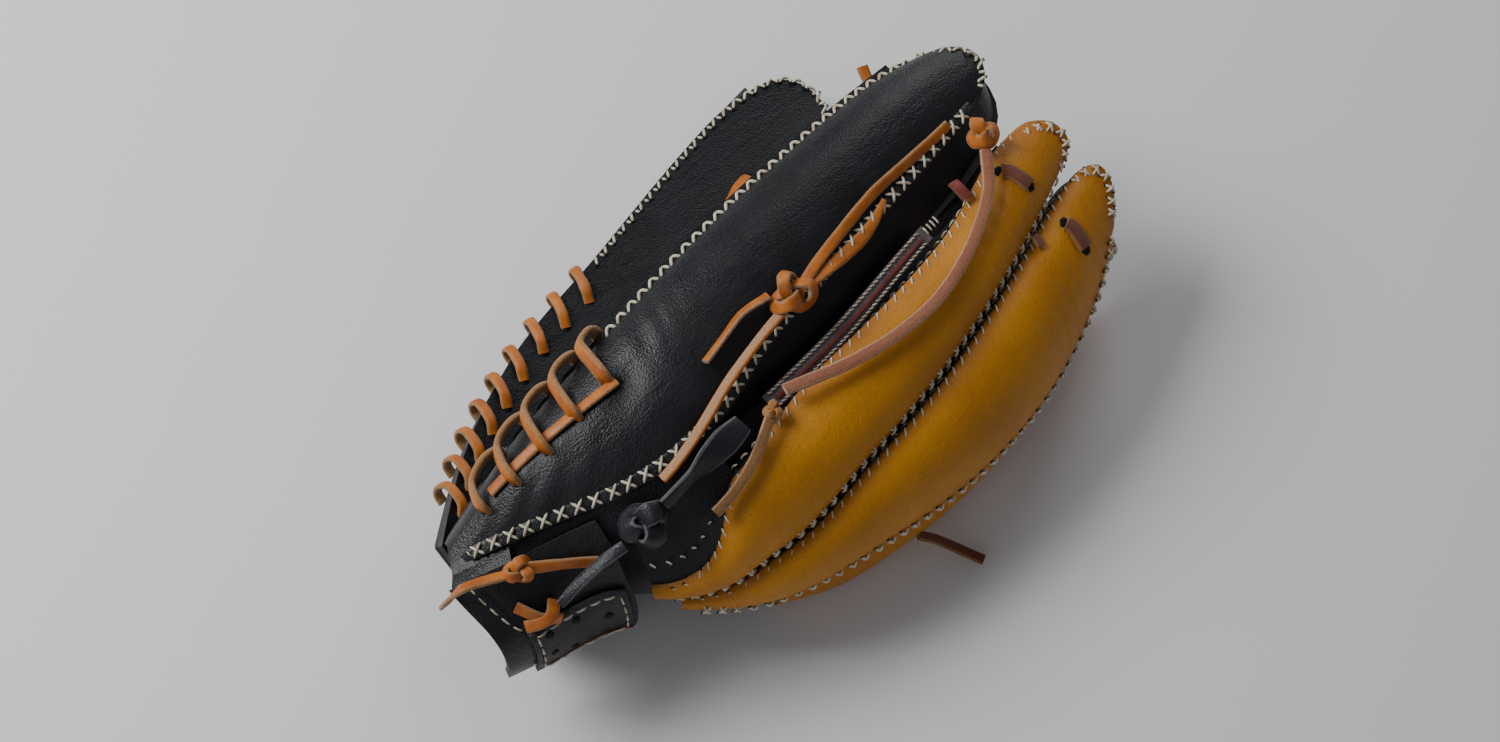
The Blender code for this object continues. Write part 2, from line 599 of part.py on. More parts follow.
    # the leather thong tied over the wrist
    knot("wrist_thong_knot", skin(1.14, -92, 21.4), 17.0, skin(1.12, -90, 1) - skin(1.12, -90, 0),
         "black_leather")
    tail("wrist_thong_up", on_skin([(1.04, -80.5, 20.4), (1.0, -74, 20.6), (0.95, -63, 20.6), (0.92, -49, 20.2)]),
         diameter=5.0, mat="black_leather")
    tail("wrist_thong_down", on_skin([(1.26, -104, 20.8), (1.36, -114, 21.4), (1.5, -124, 21.8), (1.7, -133, 22.4)]),
         diameter=5.0, mat="black_leather")
    knot("wrist_lace_knot", skin(1.12, -137, 22.6), 10.0, skin(1.12, -137, 1) - skin(1.12, -137, 0))
    surface_lace("wrist_lace", [(1.16, -130.5, 19.4), (1.24, -123, 18.3), (1.36, -114, 17.4)], step=5)
    tail("wrist_lace_tail", on_skin([(1.1, -144.5, 22.6), (1.08, -151, 24.4), (1.1, -158, 25.8)])
         .tolist() + [[-171.0, 6.0, 70.0]], diameter=3.6)
    surface_lace("wrist_cross_lace", [(1.6, -146, 20.6), (1.8, -142, 20.4), (2.02, -138, 20.0)], step=5)

    # the end of the index lace, lying on the ground
    tail("index_lace_tail", [(-7, -87.5, 25.2), (-2, -92, 21), (1.5, -96.5, 17.4), (4.5, -101.5, 14.6),
                             (8.5, -110, 12.2)], diameter=3.6)


def settle():
    """Put the glove on the ground with its footprint centred."""
    low = np.full(3, 1e9)
    high = -low
    for item in BUILT:
        if item.type != "MESH":
            continue
        co = np.array([v.co for v in item.data.vertices])
        low = np.minimum(low, co.min(0))
        high = np.maximum(high, co.max(0))
    move = -np.array([(low[0] + high[0]) / 2, (low[1] + high[1]) / 2, low[2]])
    for item in BUILT:
        if item.type == "MESH":
            for v in item.data.vertices:
                v.co = v.co.__class__(tuple(np.array(v.co) + move))
        else:
            for point in item.data.splines[0].points:
                place = np.array(point.co)
                place[:3] += move
                point.co = tuple(place)
    print("SETTLE", move / MM, "SIZE", (high - low) / MM)
    print("HINGE", [(np.array(p) + move / MM).round(2).tolist() for p in (HINGE_A, HINGE_B)])


build()
settle()
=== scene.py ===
import math

import bpy
import numpy as np
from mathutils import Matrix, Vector


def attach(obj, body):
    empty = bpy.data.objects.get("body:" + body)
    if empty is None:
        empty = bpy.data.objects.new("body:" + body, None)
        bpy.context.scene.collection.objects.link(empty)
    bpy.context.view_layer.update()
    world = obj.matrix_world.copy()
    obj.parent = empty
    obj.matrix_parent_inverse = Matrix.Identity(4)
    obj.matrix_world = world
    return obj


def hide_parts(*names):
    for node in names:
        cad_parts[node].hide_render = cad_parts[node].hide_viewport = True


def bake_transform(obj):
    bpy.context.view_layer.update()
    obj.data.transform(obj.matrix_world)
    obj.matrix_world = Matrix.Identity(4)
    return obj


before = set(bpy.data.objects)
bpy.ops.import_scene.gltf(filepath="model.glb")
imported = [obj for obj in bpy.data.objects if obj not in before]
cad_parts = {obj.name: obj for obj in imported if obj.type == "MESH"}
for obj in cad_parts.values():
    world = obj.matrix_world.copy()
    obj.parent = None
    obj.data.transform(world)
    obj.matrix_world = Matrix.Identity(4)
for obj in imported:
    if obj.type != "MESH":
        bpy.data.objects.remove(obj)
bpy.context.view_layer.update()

# ------------------------------------------------------------------ the curved surface (mm)
STATION_X = np.array([-150.0, -115.0, -70.0, -10.0, 60.0, 130.0])
RAILS = np.array([
    [(26, 64), (32, 82), (35, 96), (41, 102), (45, 100), (46, 92)],
    [(6, 64), (-6, 74), (-26, 84), (-29, 86), (-20, 84), (-8, 77)],
    [(-6, 56), (-18, 60), (-53, 57), (-61, 66), (-49, 70), (-28, 66)],
    [(-8, 46), (-22, 46), (-55, 40), (-74, 45), (-73, 48), (-50, 50)],
    [(-2, 36), (-14, 30), (-44, 22), (-56, 20), (-52, 21), (-32, 28)],
    [(14, 32), (20, 24), (30, 22), (42, 22), (52, 22), (58, 24)],
    [(34, 48), (61, 38), (83, 30), (95, 28), (107, 29), (114, 29)],
], float)
HALVES_U = (3.5, 3.95, 4.15, 4.12, 4.0, 4.0)
MOVE = np.array([9.435, -8.406, -6.992])       # from these coordinates to the row frame
LANE_X = (-150.0, -100.0, -60.0, -10.0, 60.0, 130.0)
FINGERS = {
    "pinky": dict(left=(0.03,) * 6, right=(0.78, 0.92, 0.85, 0.70, 0.67, 0.62),
                  start=-150.0, tip=137.0, bl=5.4, br=12.0, crown=17.0, palm=(0.0, 0.92)),
    "ring": dict(left=(2.3, 2.3, 1.15, 1.0, 1.07, 0.8), right=(2.6, 2.6, 1.95, 1.86, 1.96, 1.92),
                 start=-100.0, tip=141.0, bl=12.0, br=12.0, crown=18.0, palm=(1.02, 2.0)),
    "middle": dict(left=(2.64, 2.64, 2.05, 1.97, 2.07, 2.03), right=(2.74, 2.72, 2.76, 2.94, 3.08, 2.92),
                   start=-92.0, tip=145.0, bl=12.0, br=15.5, crown=18.0, palm=(2.08, 2.98)),
    "index": dict(left=(3.2, 3.2, 3.2, 3.25, 3.26, 3.1), right=(3.86, 3.86, 3.88, 3.9, 3.88, 3.86),
                  start=-62.0, tip=139.0, bl=10.5, br=11.5, crown=16.6, palm=(3.06, 3.95)),
    "thumb": dict(left=(5.1, 5.1, 5.1, 5.12, 5.12, 5.1), right=(5.97,) * 6,
                  start=-112.0, tip=114.0, bl=11.0, br=5.4, crown=18.0, palm=(5.03, 6.0)),
}
TIP_ROUND = 20.0
RNG = np.random.default_rng(7)
MM = 0.001


def slopes():
    step = np.diff(STATION_X)[None, :, None]
    rise = np.diff(RAILS, axis=1) / step
    m = np.zeros_like(RAILS)
    m[:, 1:-1] = (rise[:, :-1] * step[:, 1:] + rise[:, 1:] * step[:, :-1]) / (step[:, 1:] + step[:, :-1])
    m[:, 0] = 1.5 * rise[:, 0] - 0.5 * m[:, 1]
    m[:, -1] = 1.5 * rise[:, -1] - 0.5 * m[:, -2]
    return m


RAIL_SLOPES = slopes()


def hermite(p0, p1, m0, m1, t, h=1.0):
    return (p0 * (2 * t**3 - 3 * t**2 + 1) + p1 * (3 * t**2 - 2 * t**3)
            + h * m0 * (t**3 - 2 * t**2 + t) + h * m1 * (t**3 - t**2))


def palm_face(u, x):
    u, x = np.broadcast_arrays(np.asarray(u, float), np.asarray(x, float))
    shape = u.shape
    u, x = u.ravel(), x.ravel()
    i = np.clip(np.searchsorted(STATION_X, x) - 1, 0, len(STATION_X) - 2)
    h = (STATION_X[i + 1] - STATION_X[i])[:, None, None]
    s = (x - STATION_X[i])[:, None, None] / h
    r = hermite(RAILS[:, i].transpose(1, 0, 2), RAILS[:, i + 1].transpose(1, 0, 2),
                RAIL_SLOPES[:, i].transpose(1, 0, 2), RAIL_SLOPES[:, i + 1].transpose(1, 0, 2), s, h)
    g = np.zeros_like(r)
    g[:, 1:-1] = 0.5 * (r[:, 2:] - r[:, :-2])
    g[:, 0] = 1.5 * (r[:, 1] - r[:, 0]) - 0.5 * g[:, 1]
    g[:, -1] = 1.5 * (r[:, -1] - r[:, -2]) - 0.5 * g[:, -2]
    k = np.clip(np.floor(u).astype(int), 0, len(RAILS) - 2)
    row = np.arange(len(u))
    yz = hermite(r[row, k], r[row, k + 1], g[row, k], g[row, k + 1], (u - k)[:, None])
    return np.concatenate([x[:, None], yz], 1).reshape(shape + (3,))


def skin_normal(u, x):
    across = palm_face(u + 0.05, x) - palm_face(u - 0.05, x)
    along = palm_face(u, x + 1.5) - palm_face(u, x - 1.5)
    normal = np.cross(across, along)
    return normal / np.linalg.norm(normal, axis=-1, keepdims=True)


def skin(u, x, b):
    u, x, b = np.broadcast_arrays(np.asarray(u, float), np.asarray(x, float), np.asarray(b, float))
    return palm_face(u, x) + skin_normal(u, x) * b[..., None]


def rail_mm(u, x):
    return np.linalg.norm(palm_face(u + 0.1, x) - palm_face(u - 0.1, x), axis=-1) / 0.2


def halves_u(x):
    return np.interp(x, STATION_X, HALVES_U)


# ------------------------------------------------------------------ wrinkles
def wave(a, b, seed, count=7, low=0.5, high=2.0):
    """Smooth irregular bumps, about -1 to 1."""
    rng = np.random.default_rng(seed)
    total = np.zeros(np.broadcast(a, b).shape)
    for _ in range(count):
        fa, fb = rng.uniform(low, high, 2) * rng.choice([-1, 1], 2)
        total = total + np.sin(a * fa + b * fb + rng.uniform(0, 6.3)) * rng.uniform(0.5, 1)
    return total / (0.45 * count)


# ------------------------------------------------------------------ meshes
def add_mesh(name, verts, faces, mats, slots=None, smooth=True, sharp=50):
    mesh = bpy.data.meshes.new(name)
    mesh.from_pydata(((np.asarray(verts) + MOVE) * MM).tolist(), [], faces)
    if smooth:
        mesh.polygons.foreach_set("use_smooth", [True] * len(mesh.polygons))
    for mat in (mats if isinstance(mats, (list, tuple)) else [mats]):
        mesh.materials.append(mat)
    if slots is not None:
        mesh.polygons.foreach_set("material_index", slots)
    mesh.update()
    if smooth and sharp:
        mesh.set_sharp_from_angle(angle=math.radians(sharp))
    made = bpy.data.objects.new(name, mesh)
    bpy.context.scene.collection.objects.link(made)
    return made


def grid_faces(rows, cols, start=0, flip=False, mask=None):
    i, j = np.meshgrid(np.arange(rows - 1), np.arange(cols - 1), indexing="ij")
    if mask is not None:
        i, j = i[mask], j[mask]
    i, j = i.ravel(), j.ravel()
    a = start + i * cols + j
    quad = np.stack([a, a + 1, a + cols + 1, a + cols], 1)
    return quad[:, ::-1] if flip else quad


def sheet_mesh(name, outer, inner, mats, mask=None, edge_slot=None):
    """A leather sheet between two matching grids, closed round its edge."""
    rows, cols = outer.shape[:2]
    count = rows * cols
    verts = np.concatenate([outer.reshape(-1, 3), inner.reshape(-1, 3)])
    top = grid_faces(rows, cols, mask=mask)
    low = grid_faces(rows, cols, count, True, mask)
    edges = {}
    for ring in top.tolist():
        for a, b in zip(ring, ring[1:] + ring[:1]):
            if (b, a) in edges:
                del edges[(b, a)]
            else:
                edges[(a, b)] = True
    rim = [[b, a, count + a, count + b] for a, b in edges]
    faces = top.tolist() + low.tolist() + rim
    slots = None
    if edge_slot is not None:
        slots = [0] * len(top) + [edge_slot] * (len(low) + len(rim))
    # the first grid may face either way; point it away from the second
    made = add_mesh(name, verts, faces, mats, slots)
    c = made.data.polygons[0]
    away = np.array(c.center) * 1000 - MOVE - inner.reshape(-1, 3)[list(c.vertices)[0]]
    if np.dot(np.array(c.normal), away) < 0:
        made.data.flip_normals()
    return made


def frames(points, normals, closed=False):
    points = np.asarray(points, float)
    if closed:
        tangent = np.roll(points, -1, 0) - np.roll(points, 1, 0)
    else:
        tangent = np.gradient(points, axis=0)
    tangent /= np.linalg.norm(tangent, axis=1, keepdims=True) + 1e-12
    normals = np.asarray(normals, float) + np.zeros_like(points)
    normals = normals - tangent * np.sum(normals * tangent, 1, keepdims=True)
    normals /= np.linalg.norm(normals, axis=1, keepdims=True) + 1e-12
    return tangent, normals, np.cross(tangent, normals)


def strap_section(width, thick):
    """Rounded rectangle; the first five points are the smooth upper face."""
    w, h, r = width / 2, thick / 2, thick * 0.3
    return np.array([(-w + r, h), (-w * 0.4, h * 1.12), (0, h * 1.16), (w * 0.4, h * 1.12), (w - r, h),
                     (w, h - r), (w, -h + r), (w - r, -h), (w * 0.4, -h), (-w * 0.4, -h), (-w + r, -h),
                     (-w, -h + r), (-w, h - r)])


def ribbon(name, points, normals, width, thick, mats, width_profile=None, closed=False, wobble=0.0, seed=1):
    """A flat lace carried along a line, smooth side along the normals."""
    points = np.asarray(points, float)
    _, up, side = frames(points, normals, closed)
    section = strap_section(width, thick)
    scale = np.ones(len(points)) if width_profile is None else np.asarray(width_profile, float)
    if wobble:
        k = np.arange(len(points))
        scale = scale * (1 + wobble * wave(k * 0.35, 0 * k, seed, 4))
    ring = (points[:, None, :] + side[:, None, :] * (section[None, :, 0:1] * scale[:, None, None])
            + up[:, None, :] * section[None, :, 1:2])
    n, m = ring.shape[:2]
    faces, slots = [], []
    for i in range(n if closed else n - 1):
        k = (i + 1) % n
        for j in range(m):
            q = (j + 1) % m
            faces.append([i * m + j, k * m + j, k * m + q, i * m + q])
            slots.append(0 if j < 4 else 1)
    if not closed:
        faces.append(list(range(m)))
        faces.append([(n - 1) * m + j for j in reversed(range(m))])
        slots += [1, 1]
    return add_mesh(name, ring.reshape(-1, 3), faces, mats, slots, sharp=55)


def tube_mesh(paths, radius, sides=6):
    """Vertices and faces of many small thread pieces."""
    verts, faces = [], []
    angle = np.linspace(0, 2 * math.pi, sides, endpoint=False)
    for points in paths:
        points = np.asarray(points, float)
        tangent = np.gradient(points, axis=0)
        tangent /= np.linalg.norm(tangent, axis=1, keepdims=True) + 1e-12
        ref = np.array([0.31, 0.2, 0.93])
        side = np.cross(tangent, ref)
        side /= np.linalg.norm(side, axis=1, keepdims=True) + 1e-12
        up = np.cross(tangent, side)
        start = len(verts)
        n = len(points)
        r = np.full(n, radius)
        r[0] = r[-1] = radius * 0.6
        ring = points[:, None, :] + r[:, None, None] * (
            side[:, None, :] * np.cos(angle)[None, :, None] + up[:, None, :] * np.sin(angle)[None, :, None])
        verts.extend(ring.reshape(-1, 3).tolist())
        for i in range(n - 1):
            for j in range(sides):
                k = (j + 1) % sides
                a = start + i * sides
                faces.append([a + j, a + k, a + sides + k, a + sides + j])
        faces.append([start + j for j in reversed(range(sides))])
        faces.append([start + (n - 1) * sides + j for j in range(sides)])
    return verts, faces


def thread(name, paths, radius, mat, body):
    verts, faces = tube_mesh(paths, radius)
    made = add_mesh(name, verts, faces, mat, sharp=0)
    carry(made, body, None)
    return made


def run_along(points):
    """Distance from the first point to each point of a line."""
    return np.concatenate([[0], np.cumsum(np.linalg.norm(np.diff(points, axis=0), axis=1))])


def respread(values, count):
    """Rows of values spread evenly over a new count of rows."""
    at, old = np.linspace(0, 1, count), np.linspace(0, 1, len(values))
    return np.stack([np.interp(at, old, column) for column in values.T], 1)


def smooth_line(points, step=1.5):
    p = np.asarray(points, float)
    p = np.concatenate([[2 * p[0] - p[1]], p, [2 * p[-1] - p[-2]]])
    fine = []
    for i in range(1, len(p) - 2):
        t = np.linspace(0, 1, 24, endpoint=False)[:, None]
        fine.append(hermite(p[i], p[i + 1], 0.5 * (p[i + 1] - p[i - 1]), 0.5 * (p[i + 2] - p[i]), t))
    fine = np.concatenate(fine + [p[-2:-1]])
    run = run_along(fine[:, :3])
    count = max(3, int(round(run[-1] / step)) + 1)
    at = np.linspace(0, run[-1], count)
    return np.stack([np.interp(at, run, fine[:, k]) for k in range(fine.shape[1])], 1)


def even(points, step):
    """The same line at an even spacing."""
    run = run_along(points)
    count = max(2, int(run[-1] / step) + 1)
    at = np.linspace(0, run[-1], count)
    return np.stack([np.interp(at, run, points[:, k]) for k in range(3)], 1)


THUMB, FINGER = "thumb_half", "finger_half"


def carry(made, body, slot, *nodes):
    if body == "both":
        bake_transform(made)
    else:
        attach(made, body)
    if nodes:
        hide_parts(*nodes)


# ------------------------------------------------------------------ materials
class Nodes:
    """A small helper to build one material's node tree."""

    def __init__(self, name):
        self.mat = bpy.data.materials.new(name)
        self.mat.use_nodes = True
        self.tree = self.mat.node_tree
        self.shader = self.tree.nodes["Principled BSDF"]
        coord = self.tree.nodes.new("ShaderNodeTexCoord")
        self.place = coord.outputs["Object"]

    def node(self, kind, **values):
        made = self.tree.nodes.new(kind)
        for key, value in values.items():
            if key in made.inputs:
                made.inputs[key].default_value = value
            else:
                setattr(made, key, value)
        return made

    def link(self, a, b):
        self.tree.links.new(a, b)

    def stretched(self, scale):
        made = self.node("ShaderNodeMapping")
        made.inputs["Scale"].default_value = scale
        self.link(self.place, made.inputs["Vector"])
        return made.outputs["Vector"]

    def noise(self, scale, detail=4.0, rough=0.55, vector=None, distortion=0.0):
        made = self.node("ShaderNodeTexNoise", Scale=scale, Detail=detail, Roughness=rough,
                         Distortion=distortion)
        self.link(vector or self.place, made.inputs["Vector"])
        return made.outputs["Fac"]

    def cells(self, scale, feature="F1", vector=None):
        made = self.node("ShaderNodeTexVoronoi", feature=feature)
        made.inputs["Scale"].default_value = scale
        self.link(vector or self.place, made.inputs["Vector"])
        return made.outputs["Distance"]

    def ramp(self, source, stops):
        made = self.node("ShaderNodeValToRGB")
        made.color_ramp.elements[0].position = stops[0][0]
        made.color_ramp.elements[0].color = stops[0][1]
        made.color_ramp.elements[-1].position = stops[-1][0]
        made.color_ramp.elements[-1].color = stops[-1][1]
        for place, colour in stops[1:-1]:
            made.color_ramp.elements.new(place).color = colour
        self.link(source, made.inputs["Fac"])
        return made.outputs["Color"]

    def mix(self, a, b, fac, mode="MIX"):
        made = self.node("ShaderNodeMix", data_type="RGBA", blend_type=mode)
        for socket, value in ((made.inputs[6], a), (made.inputs[7], b)):
            if isinstance(value, tuple):
                socket.default_value = value
            else:
                self.link(value, socket)
        if isinstance(fac, float):
            made.inputs[0].default_value = fac
        else:
            self.link(fac, made.inputs[0])
        return made.outputs[2]

    def bump(self, height, strength, distance, normal=None):
        made = self.node("ShaderNodeBump", Strength=strength, Distance=distance)
        self.link(height, made.inputs["Height"])
        if normal is not None:
            self.link(normal, made.inputs["Normal"])
        return made.outputs["Normal"]

    def attribute(self, name):
        made = self.node("ShaderNodeAttribute", attribute_name=name)
        return made.outputs["Fac"]

    def done(self, colour, rough, normal, **extra):
        if isinstance(colour, tuple):
            self.shader.inputs["Base Color"].default_value = colour
        else:
            self.link(colour, self.shader.inputs["Base Color"])
        if isinstance(rough, float):
            self.shader.inputs["Roughness"].default_value = rough
        else:
            self.link(rough, self.shader.inputs["Roughness"])
        if normal is not None:
            self.link(normal, self.shader.inputs["Normal"])
        for key, value in extra.items():
            self.shader.inputs[key.replace("_", " ")].default_value = value
        return self.mat


def grey(v):
    return (v, v, v, 1.0)


def black_leather(name="black_leather_grain", tint=(0.0062, 0.0067, 0.0086)):
    n = Nodes(name)
    dark = tuple(c * 0.62 for c in tint) + (1.0,)
    light = tuple(c * 1.9 for c in tint) + (1.0,)
    colour = n.mix(dark, light, n.ramp(n.noise(34, 6, 0.62), [(0.3, grey(0)), (0.72, grey(1))]))
    specks = n.ramp(n.noise(900, 3, 0.6), [(0.6, grey(0)), (0.78, grey(0.5))])
    colour = n.mix(colour, (0.022, 0.022, 0.025, 1.0), specks)
    grain = n.cells(1150)
    pores = n.noise(2400, 2, 0.5)
    creases = n.noise(150, 7, 0.62, n.stretched((0.5, 1.5, 1.5)))
    normal = n.bump(creases, 0.35, 0.0012)
    normal = n.bump(grain, 0.42, 0.00035, normal)
    normal = n.bump(pores, 0.25, 0.00012, normal)
    rough = n.ramp(n.noise(60, 5, 0.6), [(0.3, grey(0.33)), (0.75, grey(0.5))])
    return n.done(colour, rough, normal, Specular_IOR_Level=0.42)


def mustard_leather():
    n = Nodes("mustard_leather_grain")
    base = n.mix((0.50, 0.185, 0.002, 1.0), (0.66, 0.275, 0.004, 1.0),
                 n.ramp(n.noise(22, 6, 0.6), [(0.3, grey(0)), (0.7, grey(1))]))
    pores = n.ramp(n.noise(900, 6, 0.65), [(0.3, grey(0.45)), (0.5, grey(0))])
    base = n.mix(base, (0.40, 0.13, 0.002, 1.0), pores)
    # painted shade: the mustard is darkened along the seams, tip and heel by the "edge" attribute
    painted_seam_shade = n.attribute("edge")
    base = n.mix(base, (0.36, 0.105, 0.002, 1.0), painted_seam_shade)
    grain = n.cells(1500)
    fine = n.noise(420, 8, 0.68, n.stretched((1.8, 0.6, 0.6)), 0.8)
    soft = n.noise(70, 5, 0.6)
    normal = n.bump(soft, 0.3, 0.0012)
    normal = n.bump(fine, 0.8, 0.0006, normal)
    normal = n.bump(grain, 0.5, 0.00025, normal)
    rough = n.ramp(n.noise(90, 5, 0.6), [(0.3, grey(0.42)), (0.75, grey(0.6))])
    return n.done(base, rough, normal, Specular_IOR_Level=0.45)


def lace_smooth(name, light, dark):
    n = Nodes(name)
    colour = n.mix(light, dark, n.ramp(n.noise(120, 6, 0.65), [(0.34, grey(0)), (0.7, grey(1))]))
    stains = n.ramp(n.noise(45, 4, 0.6), [(0.5, grey(0)), (0.8, grey(0.5))])
    colour = n.mix(colour, tuple(c * 0.55 for c in dark[:3]) + (1.0,), stains)
    normal = n.bump(n.noise(900, 5, 0.6), 0.3, 0.0003)
    rough = n.ramp(n.noise(200, 4, 0.6), [(0.3, grey(0.4)), (0.75, grey(0.62))])
    return n.done(colour, rough, normal, Specular_IOR_Level=0.45)


def lace_rough(name, light, dark):
    n = Nodes(name)
    fibres = n.noise(1500, 8, 0.75, None, 0.5)
    colour = n.mix(dark, light, n.ramp(fibres, [(0.32, grey(0)), (0.62, grey(1))]))
    normal = n.bump(fibres, 0.9, 0.0006)
    return n.done(colour, 0.85, normal, Specular_IOR_Level=0.25, Sheen_Weight=0.3, Sheen_Roughness=0.5)


def thread_material():
    n = Nodes("waxed_cream_thread")
    colour = n.mix((0.42, 0.35, 0.22, 1.0), (0.78, 0.72, 0.56, 1.0),
                   n.ramp(n.noise(420, 5, 0.65), [(0.34, grey(0)), (0.56, grey(1))]))
    normal = n.bump(n.noise(2600, 4, 0.6, n.stretched((2.0, 2.0, 0.6))), 0.6, 0.0003)
    return n.done(colour, 0.55, normal, Sheen_Weight=0.2)


def plain(name, colour, rough=0.6, scale=900.0, strength=0.4):
    n = Nodes(name)
    dark = tuple(c * 0.6 for c in colour[:3]) + (1.0,)
    shade = n.mix(dark, colour, n.ramp(n.noise(scale * 0.25, 5, 0.6), [(0.3, grey(0)), (0.7, grey(1))]))
    return n.done(shade, rough, n.bump(n.noise(scale, 6, 0.65), strength, 0.0004))


BLACK = black_leather()
BLACK_SOFT = black_leather("black_leather_soft", (0.0055, 0.0058, 0.0075))
CUT = plain("cut_leather_edge", (0.075, 0.07, 0.07, 1.0), 0.85)
THONG = black_leather("black_thong_smooth", (0.014, 0.015, 0.019))
THONG_EDGE = plain("thong_cut_edge", (0.13, 0.13, 0.135, 1.0), 0.8, 1600, 0.7)
YELLOW = mustard_leather()
YELLOW_CUT = plain("mustard_cut_edge", (0.40, 0.18, 0.03, 1.0), 0.8)
LACE = lace_smooth("lace_smooth_orange", (0.60, 0.185, 0.022, 1.0), (0.38, 0.095, 0.010, 1.0))
LACE_BACK = lace_rough("lace_rough_tan", (0.50, 0.27, 0.10, 1.0), (0.24, 0.095, 0.026, 1.0))
PINK = lace_rough("lace_rough_pink", (0.44, 0.17, 0.085, 1.0), (0.22, 0.065, 0.03, 1.0))
PALE = lace_rough("lace_pale_edge", (0.62, 0.36, 0.20, 1.0), (0.34, 0.16, 0.075, 1.0))
DEEP = lace_rough("lace_rough_deep", (0.24, 0.065, 0.026, 1.0), (0.085, 0.02, 0.01, 1.0))
TAN = lace_rough("lace_rough_brown", (0.36, 0.18, 0.065, 1.0), (0.16, 0.065, 0.02, 1.0))
RED = lace_smooth("welt_red_smooth", (0.26, 0.035, 0.025, 1.0), (0.14, 0.018, 0.014, 1.0))
SUEDE = lace_rough("lining_suede", (0.032, 0.028, 0.026, 1.0), (0.012, 0.010, 0.010, 1.0))
FELT = plain("wool_felt_pad", (0.42, 0.38, 0.32, 1.0), 0.95, 1400, 0.9)
THREAD = thread_material()
# painted shade: a near-black colour standing for the shade inside punched and needle holes
HOLE_SHADE = plain("painted_hole_shade", (0.004, 0.004, 0.004, 1.0), 0.9)
WELT = plain("welt_woven", (0.16, 0.13, 0.14, 1.0), 0.75, 2200, 0.8)

# upper face and cut edge of each kind of sheet or lace
BLACK_SHEET = [BLACK, CUT]
SOFT_SHEET = [BLACK_SOFT, CUT]
YELLOW_SHEET = [YELLOW, YELLOW_CUT]
ROUGH_DARK = [DEEP, TAN]
FELT_BOTH = [FELT, FELT]
SUEDE_BOTH = [SUEDE, SUEDE]


# ------------------------------------------------------------------ finger backs
def lane(finger, s, t, palm=False, inset=0.0):
    spec = FINGERS[finger]
    s, t = np.broadcast_arrays(np.asarray(s, float), np.asarray(t, float))
    corner = TIP_ROUND * (1 - np.sqrt(1 - 0.9 * np.clip(t, -1, 1)**2))
    x = spec["start"] + s * (spec["tip"] - inset - spec["start"] - corner)
    if palm:
        left, right = spec["palm"][0] + 0 * x, spec["palm"][1] + 0 * x
    else:
        left = smooth_interp(x, spec["left"])
        right = smooth_interp(x, spec["right"])
    middle = 0.5 * (left + right)
    half = 0.5 * (right - left) - inset / rail_mm(middle, x)
    narrow = 1 - 0.22 * np.clip((s - 0.85) / 0.15, 0, 1)**2
    return middle + t * narrow * half, x


def smooth_interp(x, values):
    """Lane edges as a smooth line through LANE_X."""
    xs, v = np.asarray(LANE_X), np.asarray(values, float)
    d = np.diff(v) / np.diff(xs)
    m = np.zeros_like(v)
    m[1:-1] = np.where(d[:-1] * d[1:] > 0, 2 * d[:-1] * d[1:] / (d[:-1] + d[1:] + 1e-12), 0)
    m[0], m[-1] = d[0], d[-1]
    x = np.asarray(x, float)
    i = np.clip(np.searchsorted(xs, x) - 1, 0, len(xs) - 2)
    h = xs[i + 1] - xs[i]
    t = np.clip((x - xs[i]) / h, 0, 1.1)
    return hermite(v[i], v[i + 1], m[i], m[i + 1], t, h)


def edge_height(finger, t):
    spec = FINGERS[finger]
    return spec["bl"] + (spec["br"] - spec["bl"]) * 0.5 * (1 + t)


def back_height(finger, s, t):
    spec = FINGERS[finger]
    side = edge_height(finger, t)
    fall = 1 - 0.55 * np.clip((s - 0.78) / 0.22, 0, 1)**2
    rise = np.clip(s / 0.12, 0, 1) * 0.6 + 0.4
    crown = spec["crown"] + (2.6 * t if finger == "index" else 0.0)
    return side + (crown - side) * (1 - np.abs(t)**2.4) * fall * rise


WRINKLE = {"pinky": 0.5, "ring": 0.45, "middle": 0.5, "index": 0.5, "thumb": 0.6}


def wrinkled_height(finger, s, t, x, detail=True):
    b = back_height(finger, s, t)
    calm = np.clip((1 - np.abs(t)) / 0.25, 0, 1)
    seed = len(finger) * 13
    soft = wave(x * 0.035, t * 1.6, seed, 6) * 0.8
    b = b + WRINKLE[finger] * soft * calm
    if finger in ("pinky", "thumb"):
        # folds near the laced heel edge
        lean = t if finger == "pinky" else -t
        near = np.exp(-((x + 58) / 24)**2 - ((lean + 0.62) / 0.42)**2)
        b = b + near * 0.34 * np.sin(x * 0.55 + 6.5 * lean + 1.6 * np.sin(x * 0.13 + 2 * lean)) * calm
        b = b - 1.7 * np.exp(-((x + 66 + 22 * (lean + 0.3)) / 9)**2 - ((lean + 0.28) / 0.24)**2)
        b = b + 0.28 * np.exp(-((x + 118) / 26)**2) * np.sin(x * 0.4 + 9 * lean) * calm
    else:
        tips = np.exp(-((x - 95) / 34)**2)
        b = b + tips * 0.22 * np.sin(x * 0.75 + 2.5 * t + 1.5 * np.sin(t * 4 + x * 0.05)) * calm
        heel = np.exp(-((s - 0.05) / 0.12)**2)
        b = b - heel * 0.7 * calm
    return b


def across(count):
    """Columns closer together towards both edges."""
    return np.sin(np.linspace(-math.pi / 2, math.pi / 2, count))


